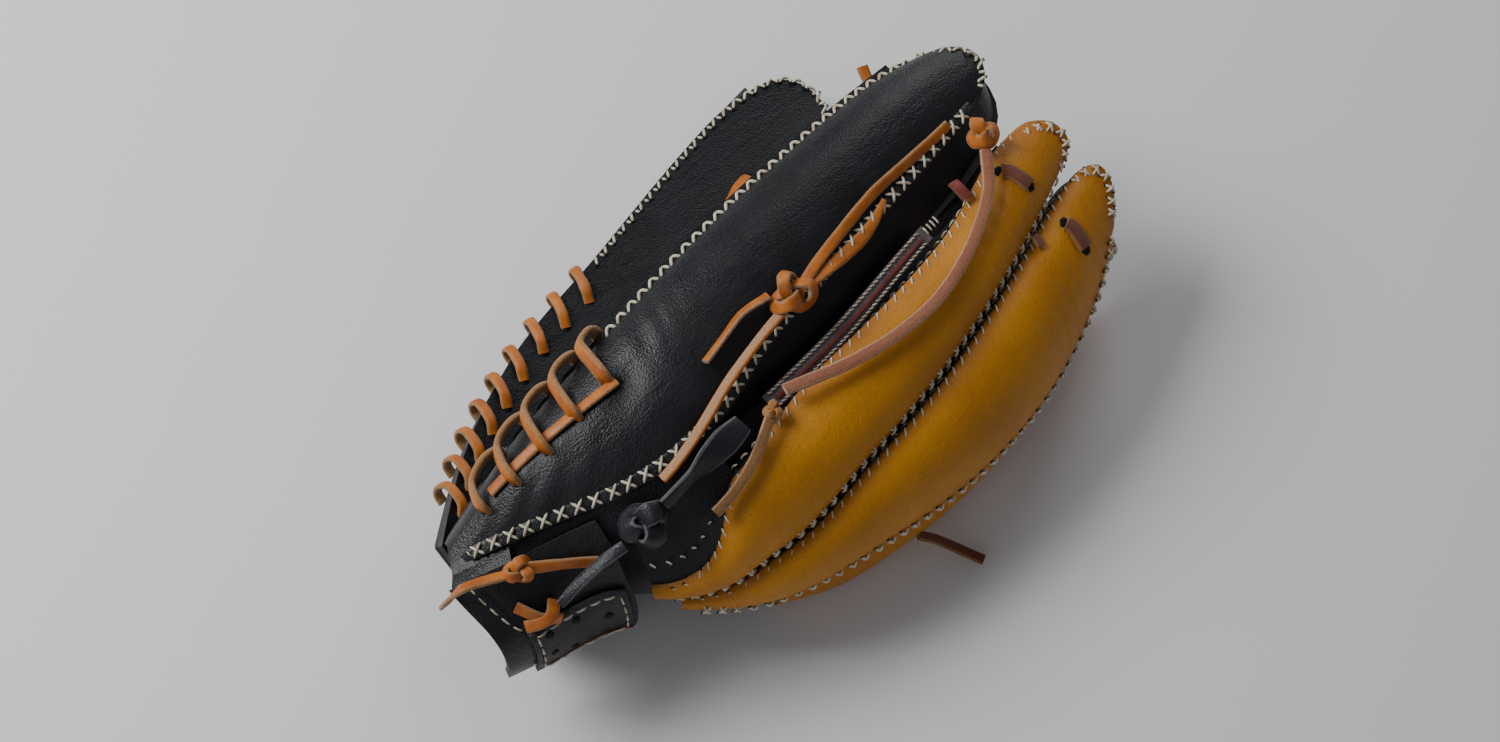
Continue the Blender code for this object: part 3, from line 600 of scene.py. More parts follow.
def back_piece(finger, mats, body):
    spec = FINGERS[finger]
    rows = int((spec["tip"] - spec["start"]) / 1.8)
    s, t = np.meshgrid(1 - (1 - np.linspace(0, 1, rows))**1.08, across(46), indexing="ij")
    u, x = lane(finger, s, t)
    b = wrinkled_height(finger, s, t, x)
    # the edge is pulled down between the stitches
    rim = np.exp(-((1 - np.abs(t)) * 16)**2) + np.exp(-((1 - s) * 60)**2)
    pull = 0.18 * (1 + np.sin(x * 2 * math.pi / 7.0))
    b = b - np.clip(rim, 0, 1) * pull
    made = sheet_mesh(finger + "_back_leather", skin(u, x, b), skin(u, x, b - 1.8), mats, edge_slot=1)
    # weight for painted shade: darker towards the finger's edges, tip and heel, stored as the "edge"
    # attribute
    painted_seam_shade_mask = np.clip(np.exp(-((1 - np.abs(t)) * 5.5)**2) * 0.75 + np.exp(-((1 - s) * 22)**2) * 0.6
                        + np.exp(-(s * 9)**2) * 0.4, 0, 0.8)
    layer = made.data.attributes.new("edge", "FLOAT", "POINT")
    values = np.concatenate([painted_seam_shade_mask.ravel(), painted_seam_shade_mask.ravel()]) * 0.8
    layer.data.foreach_set("value", values.astype(np.float32))
    carry(made, body, "mustard_leather" if mats[0] is YELLOW else "black_leather", finger + "_back")
    return made


# ------------------------------------------------------------------ gussets
def wall_rows(finger, side, rows=90):
    """(s, t) along the finger, over the tip and back, as in the solid."""
    left = [(v, -1.0) for v in np.linspace(0, 1, rows)[:-1]]
    right = [(v, 1.0) for v in np.linspace(1, 0, rows)[1:]]
    tip = [(1.0, v) for v in across(24)]
    if finger == "pinky":
        return np.array([(1.0, v) for v in across(24) if v > -0.65] + right)
    if finger == "thumb":
        return np.array(left + [(1.0, v) for v in across(24) if v < 0.65])
    return np.array(left + tip + right)


def wall_point(finger, s, t, v, inset=0.0):
    uf, xf = lane(finger, s, t, palm=True, inset=1.2 + inset)
    ub, xb = lane(finger, s, t, inset=inset + 0.2)
    top = edge_height(finger, t) - 1.7
    return uf + (ub - uf) * v, xf + (xb - xf) * v, 2.6 + (top - 2.6) * v


def gusset_piece(finger, body):
    path = wall_rows(finger, None)
    s, t = path[:, 0][:, None], path[:, 1][:, None]
    v = np.linspace(0, 1, 14)[None, :]
    u, x, b = wall_point(finger, s, t, v)
    ui, xi, bi = wall_point(finger, s, t, v, 1.3)
    sag = np.sin(math.pi * v) * (1.2 + 0.7 * wave(x * 0.06, v * 2, 5 + len(finger), 6))
    outer = skin(u, x, b)
    inner = skin(ui, xi, bi)
    toward = inner - outer
    toward /= np.linalg.norm(toward, axis=-1, keepdims=True) + 1e-9
    made = sheet_mesh(finger + "_gusset_leather", outer + toward * sag[..., None] * 0.4,
                      inner + toward * sag[..., None] * 0.4, SOFT_SHEET)
    carry(made, body, "black_leather", finger + "_gusset")
    return made


# ------------------------------------------------------------------ palm leather
FRONT = ("pinky", "ring", "middle", "index")
HEEL_X, THUMB_X, SLIT_X = -150.0, -12.0, 25.0


def palm_grid():
    """u and x of the palm sheet, with a mask that opens the finger slits and the web."""
    t = np.array([-1, -0.93, -0.8, -0.55, -0.25, 0, 0.25, 0.55, 0.8, 0.93, 1.0])
    near = np.linspace(HEEL_X, THUMB_X, 48)
    mid = np.linspace(THUMB_X, SLIT_X, 14)[1:]
    part = np.linspace(0, 1, 46)[1:]
    columns = []
    for finger in FRONT:
        left, right = FINGERS[finger]["palm"]
        for value in t:
            columns.append((0.5 * (left + right) + 0.5 * (right - left) * value, finger, value))
    for value in np.linspace(3.95, 5.03, 18)[1:-1]:
        columns.append((value, "web", 0))
    left, right = FINGERS["thumb"]["palm"]
    for value in t:
        columns.append((0.5 * (left + right) + 0.5 * (right - left) * value, "thumb", value))
    rows = len(near) + len(mid) + len(part)
    u = np.zeros((rows, len(columns)))
    x = np.zeros_like(u)
    beyond = np.concatenate([np.zeros(len(mid)), part])
    for j, (place, finger, value) in enumerate(columns):
        u[:, j] = place
        x[:len(near), j] = near
        if finger == "web":
            x[len(near):, j] = THUMB_X + np.linspace(0, 12, rows - len(near) + 1)[1:]
            continue
        spec = FINGERS[finger]
        tip = spec["tip"] - TIP_ROUND * (1 - math.sqrt(1 - 0.9 * value**2))
        half = 0.11 * (spec["palm"][1] - spec["palm"][0]) * value
        if finger == "thumb":
            run = np.linspace(0, 1, rows - len(near) + 1)[1:]
            x[len(near):, j] = THUMB_X + (tip - THUMB_X) * run
            u[len(near):, j] -= half * np.clip((run - 0.7) / 0.3, 0, 1)**2
        else:
            x[len(near):len(near) + len(mid), j] = mid
            x[len(near) + len(mid):, j] = SLIT_X + (tip - SLIT_X) * part
            u[len(near):, j] -= half * np.clip((beyond - 0.7) / 0.3, 0, 1)**2
    mask = np.ones((rows - 1, len(columns) - 1), bool)
    for j in range(len(columns) - 1):
        a, b = columns[j][1], columns[j + 1][1]
        if a != b and {a, b} <= set(FRONT):
            mask[len(near) + len(mid) - 1:, j] = False
        if "web" in (a, b):
            mask[len(near):, j] = False
    return u, x, mask


def palm_pieces():
    u, x, mask = palm_grid()
    pocket = 0.9 * wave(x * 0.022, u * 2.1, 3, 6) * np.clip((150 - np.abs(x)) / 40, 0, 1)
    fold = np.exp(-((u - halves_u(x)) / 0.3)**2)
    ripple = 0.5 * fold * np.sin(x * 0.21 + 3 * np.sin(u * 4))
    low = -np.clip(0.45 + 0.45 * pocket + ripple, 0, 1.6)
    shell = sheet_mesh("palm_leather", skin(u, x, low), skin(u, x, 1.9), BLACK_SHEET, mask, 1)
    carry(shell, "both", "black_leather", "palm_shell_fingers", "palm_shell_thumb")
    lining = sheet_mesh("palm_lining_leather", skin(u, x, 3.2), skin(u, x, 2.3), SUEDE_BOTH, mask, 1)
    carry(lining, "both", "lining_leather", "palm_lining_fingers", "palm_lining_thumb")


def lining_and_pad(finger, body):
    first = -0.55 if finger == "pinky" else -1.0
    last = 0.55 if finger == "thumb" else 1.0
    s, t = np.meshgrid(np.linspace(0.06, 0.93, 50), np.linspace(first, last, 22), indexing="ij")
    u, x = lane(finger, s, t, inset=4.0)
    top = np.minimum(back_height(finger, s, t * 0.93), back_height(finger, s, t)) - 3.2
    made = sheet_mesh(finger + "_stall_suede", skin(u, x, top), skin(u, x, top - 0.9), SUEDE_BOTH)
    carry(made, body, "lining_leather", finger + "_stall_lining")
    if finger in ("ring", "middle", "index"):
        s, t = np.meshgrid(np.linspace(0.3, 0.9, 40), np.linspace(-1, 1, 16), indexing="ij")
        u, x = lane(finger, s, t, palm=True, inset=5.5)
        thick = 1.6 * (1 - 0.5 * t**2)
        made = sheet_mesh(finger + "_felt", skin(u, x, 4.1 + thick), skin(u, x, 4.1 + 0 * u), FELT_BOTH)
        carry(made, body, "wool_felt", finger + "_pad")


def area(name, u0, u1, x0, x1, b0, b1, mats, body, slot, nodes, nu=40, nx=40, bend=0.0, shear=0.0):
    """A panel between limits in u, x and b; limits may be functions."""
    x = np.linspace(x0, x1, nx + 1)[:, None] + np.zeros((1, nu + 1))
    f = np.linspace(0, 1, nu + 1)[None, :]
    left = u0(x) if callable(u0) else u0
    right = u1(x) if callable(u1) else u1
    u = left + (right - left) * f
    x = x + shear * (1 - f)**0.8
    low = b0(u, x) if callable(b0) else b0
    high = b1(u, x) if callable(b1) else b1
    lump = bend * wave(x * 0.05, u * 2.5, len(name), 6)
    made = sheet_mesh(name, skin(u, x, high + lump), skin(u, x, low + lump), mats, edge_slot=1)
    carry(made, body, slot, *nodes)
    return made


# ------------------------------------------------------------------ stitches
def places_line(places, step=1.0):
    """Dense (u, x, b) line through places."""
    return smooth_line([(p[0] * 30, p[1], p[2]) for p in places], step) / np.array([30, 1, 1])


def finger_b(finger, u, x):
    """Height of a finger's back leather at (u, x)."""
    spec = FINGERS[finger]
    left, right = smooth_interp(x, spec["left"]), smooth_interp(x, spec["right"])
    t = np.clip((2 * u - left - right) / (right - left), -1, 1)
    corner = TIP_ROUND * (1 - np.sqrt(1 - 0.9 * t**2))
    s = np.clip((x - spec["start"]) / (spec["tip"] - spec["start"] - corner), 0, 1)
    return wrinkled_height(finger, s, t, x)


def edge_frame(finger, side, offset=0.0):
    """Points, outward and upward directions along one finger's edge, heel to tip and over it."""
    path = wall_rows(finger, side, 260)
    if side == "left":
        cut = int(np.argmax(path[:, 0] >= 1.0))
        path = path[:cut + 1]
    elif side == "right":
        cut = len(path) - int(np.argmax(path[::-1, 0] >= 1.0)) - 1
        path = path[cut:][::-1]
    elif side == "tip":
        path = path[path[:, 0] >= 0.999]
    u, x = lane(finger, path[:, 0], path[:, 1], inset=offset)
    return path, u, x


def arc(a, b, lift, up, count=5):
    """A short thread from a to b, raised in the middle."""
    f = np.linspace(0, 1, count)[:, None]
    return a + (b - a) * f + up * (lift * np.sin(math.pi * f))


def whip(points, ups, outs, pitch, reach, lean=0.55, radius_lift=0.5, cross=False):
    """Overcast stitches along a line: each goes over the edge, leaning forward."""
    run = run_along(points)
    count = int(run[-1] / pitch)
    at = (np.arange(count) + 0.5) * pitch
    stitches, holes = [], []

    def sample(values, where):
        return np.array([np.interp(where, run, values[:, k]) for k in range(3)])
    for d in at:
        jitter = RNG.uniform(-0.25, 0.25)
        if cross == "zigzag":
            up, out = sample(ups, d), sample(outs, d)
            a = sample(points, d + jitter) - out * reach
            b = sample(points, min(d + jitter + 0.62 * pitch, run[-1])) + out * reach * 0.8
            c = sample(points, min(d + 0.8 * pitch, run[-1])) - out * reach * 0.95
            stitches.append(arc(a, b, radius_lift + 0.5, up, 8))
            stitches.append(arc(b, c, radius_lift + 0.2, up, 8))
            holes.append((a, up))
            continue
        near = sample(points, d + jitter - lean * pitch * 0.5)
        far = sample(points, min(d + jitter + lean * pitch * 0.5, run[-1]))
        up, out = sample(ups, d), sample(outs, d)
        a = near - out * reach
        b = far + out * reach
        stitches.append(arc(a, b, radius_lift + 0.5, up, 7))
        holes.append((a, up))
        holes.append((b, up))
        if cross:
            c = sample(points, min(d + jitter + lean * pitch * 0.5, run[-1])) - out * reach
            e = sample(points, d + jitter - lean * pitch * 0.5) + out * reach
            stitches.append(arc(c, e, radius_lift + 1.1, up, 7))
    return stitches, holes


def seam(name, points, ups, outs, pitch, reach, body, radius=0.55, lean=0.55, cross=False, lift=0.5,
         holes=True):
    stitches, places = whip(points, ups, outs, pitch, reach, lean, lift, cross)
    thread(name, stitches, radius, THREAD, body)
    if holes:
        dots(name + "_holes", places, body)


def dots(name, places, body, size=0.75):
    """Small sunken needle holes, coloured near-black as painted shade for each hole's depth."""
    verts, faces = [], []
    ring = np.linspace(0, 2 * math.pi, 7)[:-1]
    for point, up in places:
        up = up / (np.linalg.norm(up) + 1e-9)
        side = np.cross(up, (0.2, 0.5, 0.84))
        side /= np.linalg.norm(side) + 1e-9
        other = np.cross(up, side)
        start = len(verts)
        for radius, height in ((size, -0.25), (size, 0.12), (size * 0.35, 0.16)):
            for a in ring:
                verts.append(point + radius * (side * math.cos(a) + other * math.sin(a)) + up * height)
        for j in range(6):
            k = (j + 1) % 6
            faces.append([start + j, start + k, start + 6 + k, start + 6 + j])
            faces.append([start + 6 + j, start + 6 + k, start + 12 + k, start + 12 + j])
        faces.append([start + 12 + j for j in range(6)])
        faces.append([start + j for j in reversed(range(6))])
    made = add_mesh(name, verts, faces, HOLE_SHADE, sharp=0)
    carry(made, body, "black_leather")
    return made


def line_dirs(points, up_dirs):
    tangent = np.gradient(points, axis=0)
    tangent /= np.linalg.norm(tangent, axis=1, keepdims=True) + 1e-12
    outs = np.cross(tangent, up_dirs)
    return outs / (np.linalg.norm(outs, axis=1, keepdims=True) + 1e-12)


def edge_seam(finger, side, body, pitch, reach, top=0.0, radius=0.55, s0=0.0, s1=1.01, cross=False,
              shift=0.0, lean=0.55, tilt=0.5):
    """Stitches along a finger's edge, over the corner between its back and its side."""
    path, u, x = edge_frame(finger, side, 0.4 + shift)
    keep = (path[:, 0] >= s0) & (path[:, 0] <= s1)
    path, u, x = path[keep], u[keep], x[keep]
    b = back_height(finger, np.clip(path[:, 0], 0, 1), path[:, 1]) + top
    points = even(skin(u, x, b), 0.8)
    ups = respread(skin_normal(u, x), len(points))
    uc, xc = lane(finger, np.clip(path[:, 0] * 0.97, 0, 1), path[:, 1] * 0.8)
    inward = skin(uc, xc, b) - skin(u, x, b)
    inward = respread(inward, len(points))
    outs = line_dirs(points, ups)
    sign = np.sign(np.sum(outs * inward, 1, keepdims=True))
    outs = outs * -np.where(sign == 0, 1, sign)
    lifted = ups + outs * tilt
    lifted /= np.linalg.norm(lifted, axis=1, keepdims=True)
    flat = line_dirs(points, lifted)
    flat = flat * np.sign(np.sum(flat * outs, 1, keepdims=True))
    seam(finger + "_" + side + "_stitches", points, lifted, flat, pitch, reach, body, radius,
         lean, cross)


def surface_seam(name, places, pitch, reach, body, cross=False, radius=0.5, lean=0.55, holes=True, lift=0.4):
    line = places_line(places, 0.8)
    points = skin(line[:, 0], line[:, 1], line[:, 2])
    ups = skin_normal(line[:, 0], line[:, 1])
    seam(name, points, ups, line_dirs(points, ups), pitch, reach, body, radius, lean, cross, lift, holes)


def dashes(name, places, body, stitch=4.2, gap=1.6, radius=0.42, lift=0.35):
    line = places_line(places, 0.5)
    points = skin(line[:, 0], line[:, 1], line[:, 2])
    ups = skin_normal(line[:, 0], line[:, 1])
    run = run_along(points)
    made, at = [], 0.5
    while at + stitch < run[-1]:
        ends = [np.array([np.interp(d, run, points[:, k]) for k in range(3)])
                for d in np.linspace(at, at + stitch, 5)]
        up = np.array([np.interp(at, run, ups[:, k]) for k in range(3)])
        rise = np.array([-0.35, 0.8, 1.0, 0.8, -0.35])[:, None]
        made.append(np.array(ends) + up * rise * lift)
        at += stitch + gap
    thread(name, made, radius, THREAD, body)


# ------------------------------------------------------------------ laces
def lace(name, places, width, thick, mats, body, slot="lace_rawhide", nodes=(), step=1.2, turn=None, seed=1,
         world=False, taper=None, wobble=0.04):
    """A flat lace through (u, x, b) places, or through plain points when world is set."""
    if world:
        points = smooth_line(places, step)
        normals = np.tile((0.0, 0.0, 1.0), (len(points), 1))
    else:
        line = places_line(places, step)
        points = skin(line[:, 0], line[:, 1], line[:, 2])
        normals = skin_normal(line[:, 0], line[:, 1])
    if turn is not None:
        tangent, up, side = frames(points, normals)
        at, old = np.linspace(0, 1, len(points)), np.linspace(0, 1, len(turn))
        angle = np.radians(np.interp(at, old, turn))[:, None]
        normals = up * np.cos(angle) + side * np.sin(angle)
    profile = None
    if taper is not None:
        profile = np.interp(np.linspace(0, 1, len(points)), np.linspace(0, 1, len(taper)), taper)
    made = ribbon(name, points, normals, width, thick, mats, profile, wobble=wobble, seed=seed)
    carry(made, body, slot, *nodes)
    return made, points


def free_end(name, places, width, thick, mats, body, node, stiffness="stiff", lay="hanging",
             slot="lace_rawhide",
             **more):
    """A free lace end, built as a lace."""
    made, points = lace(name, places, width, thick, mats, body, slot, (node,), **more)
    return made


def tied_knot(name, centre, normal, along, size, width, thick, mats, body, slot, nodes, flat=0.42):
    """An overhand knot: one lace round itself, drawn tight."""
    z = np.asarray(normal, float) / np.linalg.norm(normal)
    y = np.asarray(along, float) - z * np.dot(along, z)
    y /= np.linalg.norm(y)
    x = np.cross(y, z)
    a = np.linspace(0, 2 * math.pi, 150)[:-1]
    shape = np.stack([np.sin(a) + 2 * np.sin(2 * a), np.cos(a) - 2 * np.cos(2 * a),
                      -np.sin(3 * a) * flat * 3], 1) / 3.0
    shape[:, 0] *= 0.85
    line = np.asarray(centre) + (shape * (size * 0.5 - width * 0.28)) @ np.stack([x, y, z])
    outward = line - np.asarray(centre)
    outward = outward / (np.linalg.norm(outward, axis=1, keepdims=True) + 1e-9) + z * 1.1
    made = ribbon(name, line, outward, width, thick, mats, closed=True, wobble=0.06, seed=3)
    carry(made, body, slot, *nodes)
    return made


# ------------------------------------------------------------------ build: leather
for finger, mats, body in (("pinky", BLACK_SHEET, FINGER), ("ring", YELLOW_SHEET, FINGER),
                           ("middle", YELLOW_SHEET, FINGER), ("index", YELLOW_SHEET, FINGER),
                           ("thumb", BLACK_SHEET, THUMB)):
    back_piece(finger, mats, body)
    gusset_piece(finger, body)
    lining_and_pad(finger, body)
palm_pieces()


def heel_b(u, x):
    return 15.5 + 3.5 * np.clip((-118.0 - x) / 30.0, 0, 1)


heel_felts = (
    area("heel_pad_felt_a", 0.3, 0.72, -144, -78, 3.75, lambda u, x: 3.75 + 2.6 - 4.0 * np.abs(u - 0.6),
         FELT_BOTH, FINGER, "wool_felt", ["heel_pad_pinky"]),
    area("heel_pad_felt_b", 5.12, 5.66, -144, -84, 3.75, lambda u, x: 3.75 + 2.4 - 3.0 * np.abs(u - 5.4),
         FELT_BOTH, THUMB, "wool_felt", ["heel_pad_thumb"]))
area("wrist_panel", 1.0, lambda x: halves_u(x) - 0.22, -156, -106, lambda u, x: heel_b(u, x) - 1.8, heel_b,
     SOFT_SHEET, FINGER, "black_leather", ["heel_back_panel"], 70, 40, 0.25)
area("wrist_strap_leather", 2.12, 3.2, -150, -108, lambda u, x: heel_b(u, x) + 0.35,
     lambda u, x: heel_b(u, x) + 2.35, BLACK_SHEET, FINGER, "black_leather", ["wrist_strap"], 50, 36, 0.2)
area("thumb_base_leather", lambda x: halves_u(x) + 0.42, 5.04, -140, -30, 10.5, 12.3, SOFT_SHEET, THUMB,
     "black_leather", ["thumb_base_panel"], 30, 70, 0.3)
area("opening_edge_binding", 1.04, 3.1, -160.5, -151.0, lambda u, x: heel_b(u, x) - 3.0,
     lambda u, x: heel_b(u, x) + 0.6, SOFT_SHEET, FINGER, "lining_leather", ["opening_binding"], 70, 10,
     0.0, -0.8)
area("label_welt_red", 0.932, 0.95, -30, 60, 10.0, 11.2, [RED, RED], FINGER, "welt_red",
     ["gusset_welt"], 5, 60)
area("web_palm_leather", 3.92, 5.05, -16, 101, 0.0, 1.8, BLACK_SHEET, "both",
     "black_leather", ["web_palm_panel"], 50, 60, 0.3)
area("web_back_leather", lambda x: halves_u(x) + 0.12, 4.9, -8, 98, 2.2, 4.0, SOFT_SHEET, "both",
     "black_leather", ["web_back_panel"], 50, 60, 0.3)
area("web_top_leather", lambda x: halves_u(x) + 0.1, 4.9, 101.6, 109, -0.6, 4.4, YELLOW_SHEET, "both",
     "mustard_leather", ["web_crown"], 60, 8, 0.2)

def corner_b(u, x):
    return np.interp(u, [0.0, 0.1, 0.3, 0.6, 0.8, 1.12], [5.4, 7.6, 10.6, 12.7, 13.6, 18.6])


area("heel_corner_leather", 0.0, 1.12, -158.0, -140, lambda u, x: corner_b(u, x) - 2.9,
     lambda u, x: corner_b(u, x) - 0.8, SOFT_SHEET, FINGER, "black_leather", [], 50, 20, 0.15, 13.0)
area("heel_corner_lip", 0.0, 1.12, -162.5, -157.0, 2.4, lambda u, x: corner_b(u, x) - 0.7,
     SOFT_SHEET, FINGER, "black_leather", [], 50, 6, 0.1, 14.0)
area("heel_gap_leather", 0.78, 1.3, -140, -60, 7.6, 9.4, SOFT_SHEET, FINGER, "black_leather", [], 20,
     50, 0.2)
# a dark leather sheet closing the slit between the pinky and ring palms: painted shade for the shadowed gap
# between the fingers
area("pinky_ring_gore", 0.9, 1.04, 22, 121, 0.2, 1.4, SOFT_SHEET, FINGER, "black_leather", [], 8, 60)

# the layered leather between a back and the palm at the two outer edges
area("pinky_edge_welt", 0.0, 0.075, -149, 108, 1.95, 3.6, BLACK_SHEET, FINGER, "black_leather", [], 3, 150)
area("thumb_edge_welt", 5.935, 6.0, -149, 94, 1.95, 3.6, BLACK_SHEET, THUMB, "black_leather", [], 3, 140)

# ------------------------------------------------------------------ build: stitches
def outer_edge(finger, x0, x1):
    """Line along the outer edge of the pinky or thumb, up and over the tip corner."""
    spec = FINGERS[finger]
    x = np.linspace(x0, x1, 240)
    side = -1.0 if finger == "pinky" else 1.0
    s = np.clip((x - spec["start"]) / (spec["tip"] - spec["start"] - TIP_ROUND * 0.684), 0, 1)
    u, xx = lane(finger, s, side + 0 * x, inset=0.0)
    return u, xx


for finger, body, x0 in (("pinky", FINGER, -62.0), ("thumb", THUMB, -16.0)):
    u, x = outer_edge(finger, x0, FINGERS[finger]["tip"] - TIP_ROUND * 0.69)
    b = np.full(len(u), 4.7)
    if finger == "pinky":
        t = np.linspace(-1.0, 0.86, 70)
        uc, xc = lane(finger, 1.0 + 0 * t, t, inset=1.7)
    else:
        t = np.linspace(1.0, -0.86, 70)
        uc, xc = lane(finger, 1.0 + 0 * t, t)
    bc = back_height(finger, 1.0 + 0 * t, t) - 0.1
    if finger == "thumb":
        b, bc = b - 4.3, 0.4 + 0 * bc
    u, x, b = np.concatenate([u, uc[1:]]), np.concatenate([x, xc[1:]]), np.concatenate([b, bc[1:]])
    points = even(skin(u, x, b), 0.8)
    ups = respread(skin_normal(u, x), len(points))
    inner = skin(u + (0.3 if finger == "pinky" else -0.3), x - 2.0, b)
    inward = respread(inner - skin(u, x, b), len(points))
    outs = line_dirs(points, ups)
    outs = outs * -np.sign(np.sum(outs * inward, 1, keepdims=True) + 1e-9)
    if finger == "thumb":
        ups = -ups
    lifted = ups * 0.75 + outs * 0.65
    lifted /= np.linalg.norm(lifted, axis=1, keepdims=True)
    flat = line_dirs(points, lifted)
    flat = flat * np.sign(np.sum(flat * outs, 1, keepdims=True) + 1e-9)
    seam(finger + "_edge_stitches", points + outs * 0.2, lifted, flat, 6.4, 2.3, body, 0.66, 0.8,
         "zigzag", 0.4)

# inner seam of the pinky: large crosses on a raised strip
strip_x = np.linspace(-147, 117, 180)
strip_u = smooth_interp(strip_x, FINGERS["pinky"]["right"]) - 3.4 / rail_mm(0.7 + 0 * strip_x, strip_x)
strip_b = finger_b("pinky", strip_u, strip_x)
points = skin(strip_u, strip_x, strip_b + 0.3)
ups = skin_normal(strip_u, strip_x)
made = ribbon("pinky_seam_strip", points, ups, 5.2, 0.9, BLACK_SHEET)
carry(made, FINGER, "black_leather")
points = even(skin(strip_u, strip_x, strip_b + 0.95), 0.8)
ups = respread(ups, len(points))
seam("pinky_cross_stitches", points, ups, line_dirs(points, ups), 7.0, 2.35, FINGER, 0.58, 0.62, True, 0.15)

for finger in ("ring", "middle", "index"):
    edge_seam(finger, "right", FINGER, 6.0, 1.9, 0.1, 0.52, 0.02, 1.0, True, shift=0.5)
    edge_seam(finger, "left", FINGER, 5.4, 1.6, 0.1, 0.42, 0.02, 1.0, False, shift=0.5)
    edge_seam(finger, "tip", FINGER, 5.2, 2.1, 0.45, 0.56, 0.0, 1.01, True, shift=1.9, tilt=0.1)
edge_seam("thumb", "left", THUMB, 5.6, 1.7, 0.1, 0.48, 0.02, 1.0, True, shift=0.5)


def gusset_row(finger, side, body, v, tag):
    """Second row of stitches on the side wall, just below the back's edge."""
    path = wall_rows(finger, None, 200)
    want = -1.0 if side == "left" else 1.0
    path = path[np.abs(path[:, 1] - want) < 0.02]
    if side == "right":
        path = path[::-1]
    s, t = path[:, 0], path[:, 1]
    u, x, b = wall_point(finger, s, t, v)
    points = even(skin(u, x, b), 0.8)
    u2, x2, b2 = wall_point(finger, s, t, v, 2.0)
    outward = skin(u, x, b) - skin(u2, x2, b2)
    outward /= np.linalg.norm(outward, axis=1, keepdims=True) + 1e-9
    ups = respread(outward, len(points))
    seam(finger + "_wall_" + side + tag, points + ups * 0.4, ups, line_dirs(points, ups), 6.0, 1.4,
         body, 0.42,
         0.5, False, 0.3)


for finger in ("ring", "middle", "index"):
    gusset_row(finger, "right", FINGER, 0.62, "_stitches")
gusset_row("ring", "left", FINGER, 0.7, "_stitches")
gusset_row("middle", "left", FINGER, 0.7, "_stitches")

# dashed seams round the wrist
WRIST_SEAMS = {
    "wrist_dash_a": [(1.06, -155, 19.4), (1.35, -154.6, 19.4), (1.85, -153, 19.4), (2.1, -150, 19.2)],
    "wrist_dash_b": [(2.18, -148, 21.8), (2.18, -128, 20.0), (2.18, -110, 18.2)],
    "wrist_dash_c": [(2.2, -110.5, 18.2), (2.7, -110.5, 18.2), (3.14, -110.5, 18.2)],
    "wrist_dash_d": [(3.14, -111, 18.2), (3.14, -128, 20.0), (3.14, -148, 21.8)],
    "wrist_dash_e": [(2.2, -147.6, 21.8), (2.7, -147.6, 21.8), (3.14, -147.6, 21.8)],
    "wrist_dash_f": [(0.08, -146, 7.4), (0.3, -146.4, 10.4), (0.6, -147, 12.6), (0.76, -147, 12.8)],
}
for name, places in WRIST_SEAMS.items():
    dashes(name, places, FINGER)

area("strap_piping_red", 3.2, 3.245, -150, -108, lambda u, x: heel_b(u, x) + 0.2,
     lambda u, x: heel_b(u, x) + 2.7, [RED, RED], FINGER, "welt_red", [], 2, 40)
dashes("strap_piping_dashes", [(3.222, -146, 21.4), (3.222, -128, 19.2), (3.222, -110, 17.6)], FINGER,
     6.0, 2.0)
punched = [(skin(u, x, float(heel_b(u, x)) + 2.35 + 0.1), skin_normal(u, x))
           for u, x in ((2.36, -131), (2.62, -118), (2.3, -143), (3.0, -134), (2.75, -143))]
dots("strap_lace_holes", punched, FINGER, 1.9)

# the strip beside the pinky: a woven band with two rows of fine stitches
area("label_strip", 0.875, 1.0, -34, 64, 9.0, 10.1, [WELT, CUT], FINGER, "black_leather", [], 12, 90)
for k, u in enumerate((0.892, 0.985)):
    surface_seam("label_stitches_%d" % k, [(u, -32, 10.3), (u, 14, 10.3), (u, 62, 10.3)], 2.3, 0.45, FINGER,
                 False, 0.3, 0.9, False, 0.1)
for k in range(4):
    x = 63.5 + 2.2 * k
    dashes("label_bar_%d" % k, [(0.885, x, 10.6), (0.94, x, 10.7), (0.99, x, 10.6)], FINGER, 3.6, 1.0,
         0.4, 0.2)

# ------------------------------------------------------------------ build: heel laces
MIXED = [LACE, LACE_BACK]


def edge_point(u_edge, x, inward):
    edge = skin(u_edge, x, 3.0)
    inner = skin(u_edge + inward * 0.06, x, 3.0)
    out = (edge - inner) / np.linalg.norm(edge - inner)
    up = skin(u_edge, x, 4.0) - edge
    along = skin(u_edge, x + 1.0, 3.0) - edge
    return edge, out, up / np.linalg.norm(up), along / np.linalg.norm(along)


hole_marks = {THUMB: [], FINGER: []}


def heel_loop(name, line, inside, width, body, seed, nodes=(), thick=1.8):
    """One turn of the heel lace, smooth side out."""
    made = ribbon(name, line, line - inside, width, thick, MIXED, wobble=0.05, seed=seed)
    carry(made, body, "lace_rawhide", *nodes)


THUMB_LOOPS = (-22.0, -37.0, -52.0, -67.0, -81.0, -94.0, -107.0, -119.0, -130.0)
for k, x in enumerate(THUMB_LOOPS):
    edge, out, up, along = edge_point(6.0, x, -1)
    inward = 11.0 - 0.45 * k
    start = edge - out * inward - up * 3.4 - along * 5.0
    mid = edge - out * inward * 0.5 - up * 5.9 - along * 2.4
    lip = edge + out * 2.4 - up * 3.4 + along * 0.8
    side = edge + out * 4.4 + up * 1.2 + along * 1.6
    low = edge + out * 2.2 + up * 5.0 + along * 2.0
    back = edge - out * 2.4 + up * 6.2 + along * 2.2
    line = smooth_line([start, mid, lip, side, low, back], 0.9)
    heel_loop("thumb_heel_loop_%d" % k, line, edge - out * 4.0 + up * 0.5, 4.5, THUMB, k,
              ["thumb_heel_lace"] if k == 0 else [])
    hole_marks[THUMB].append((start - up * 0.1, -up))

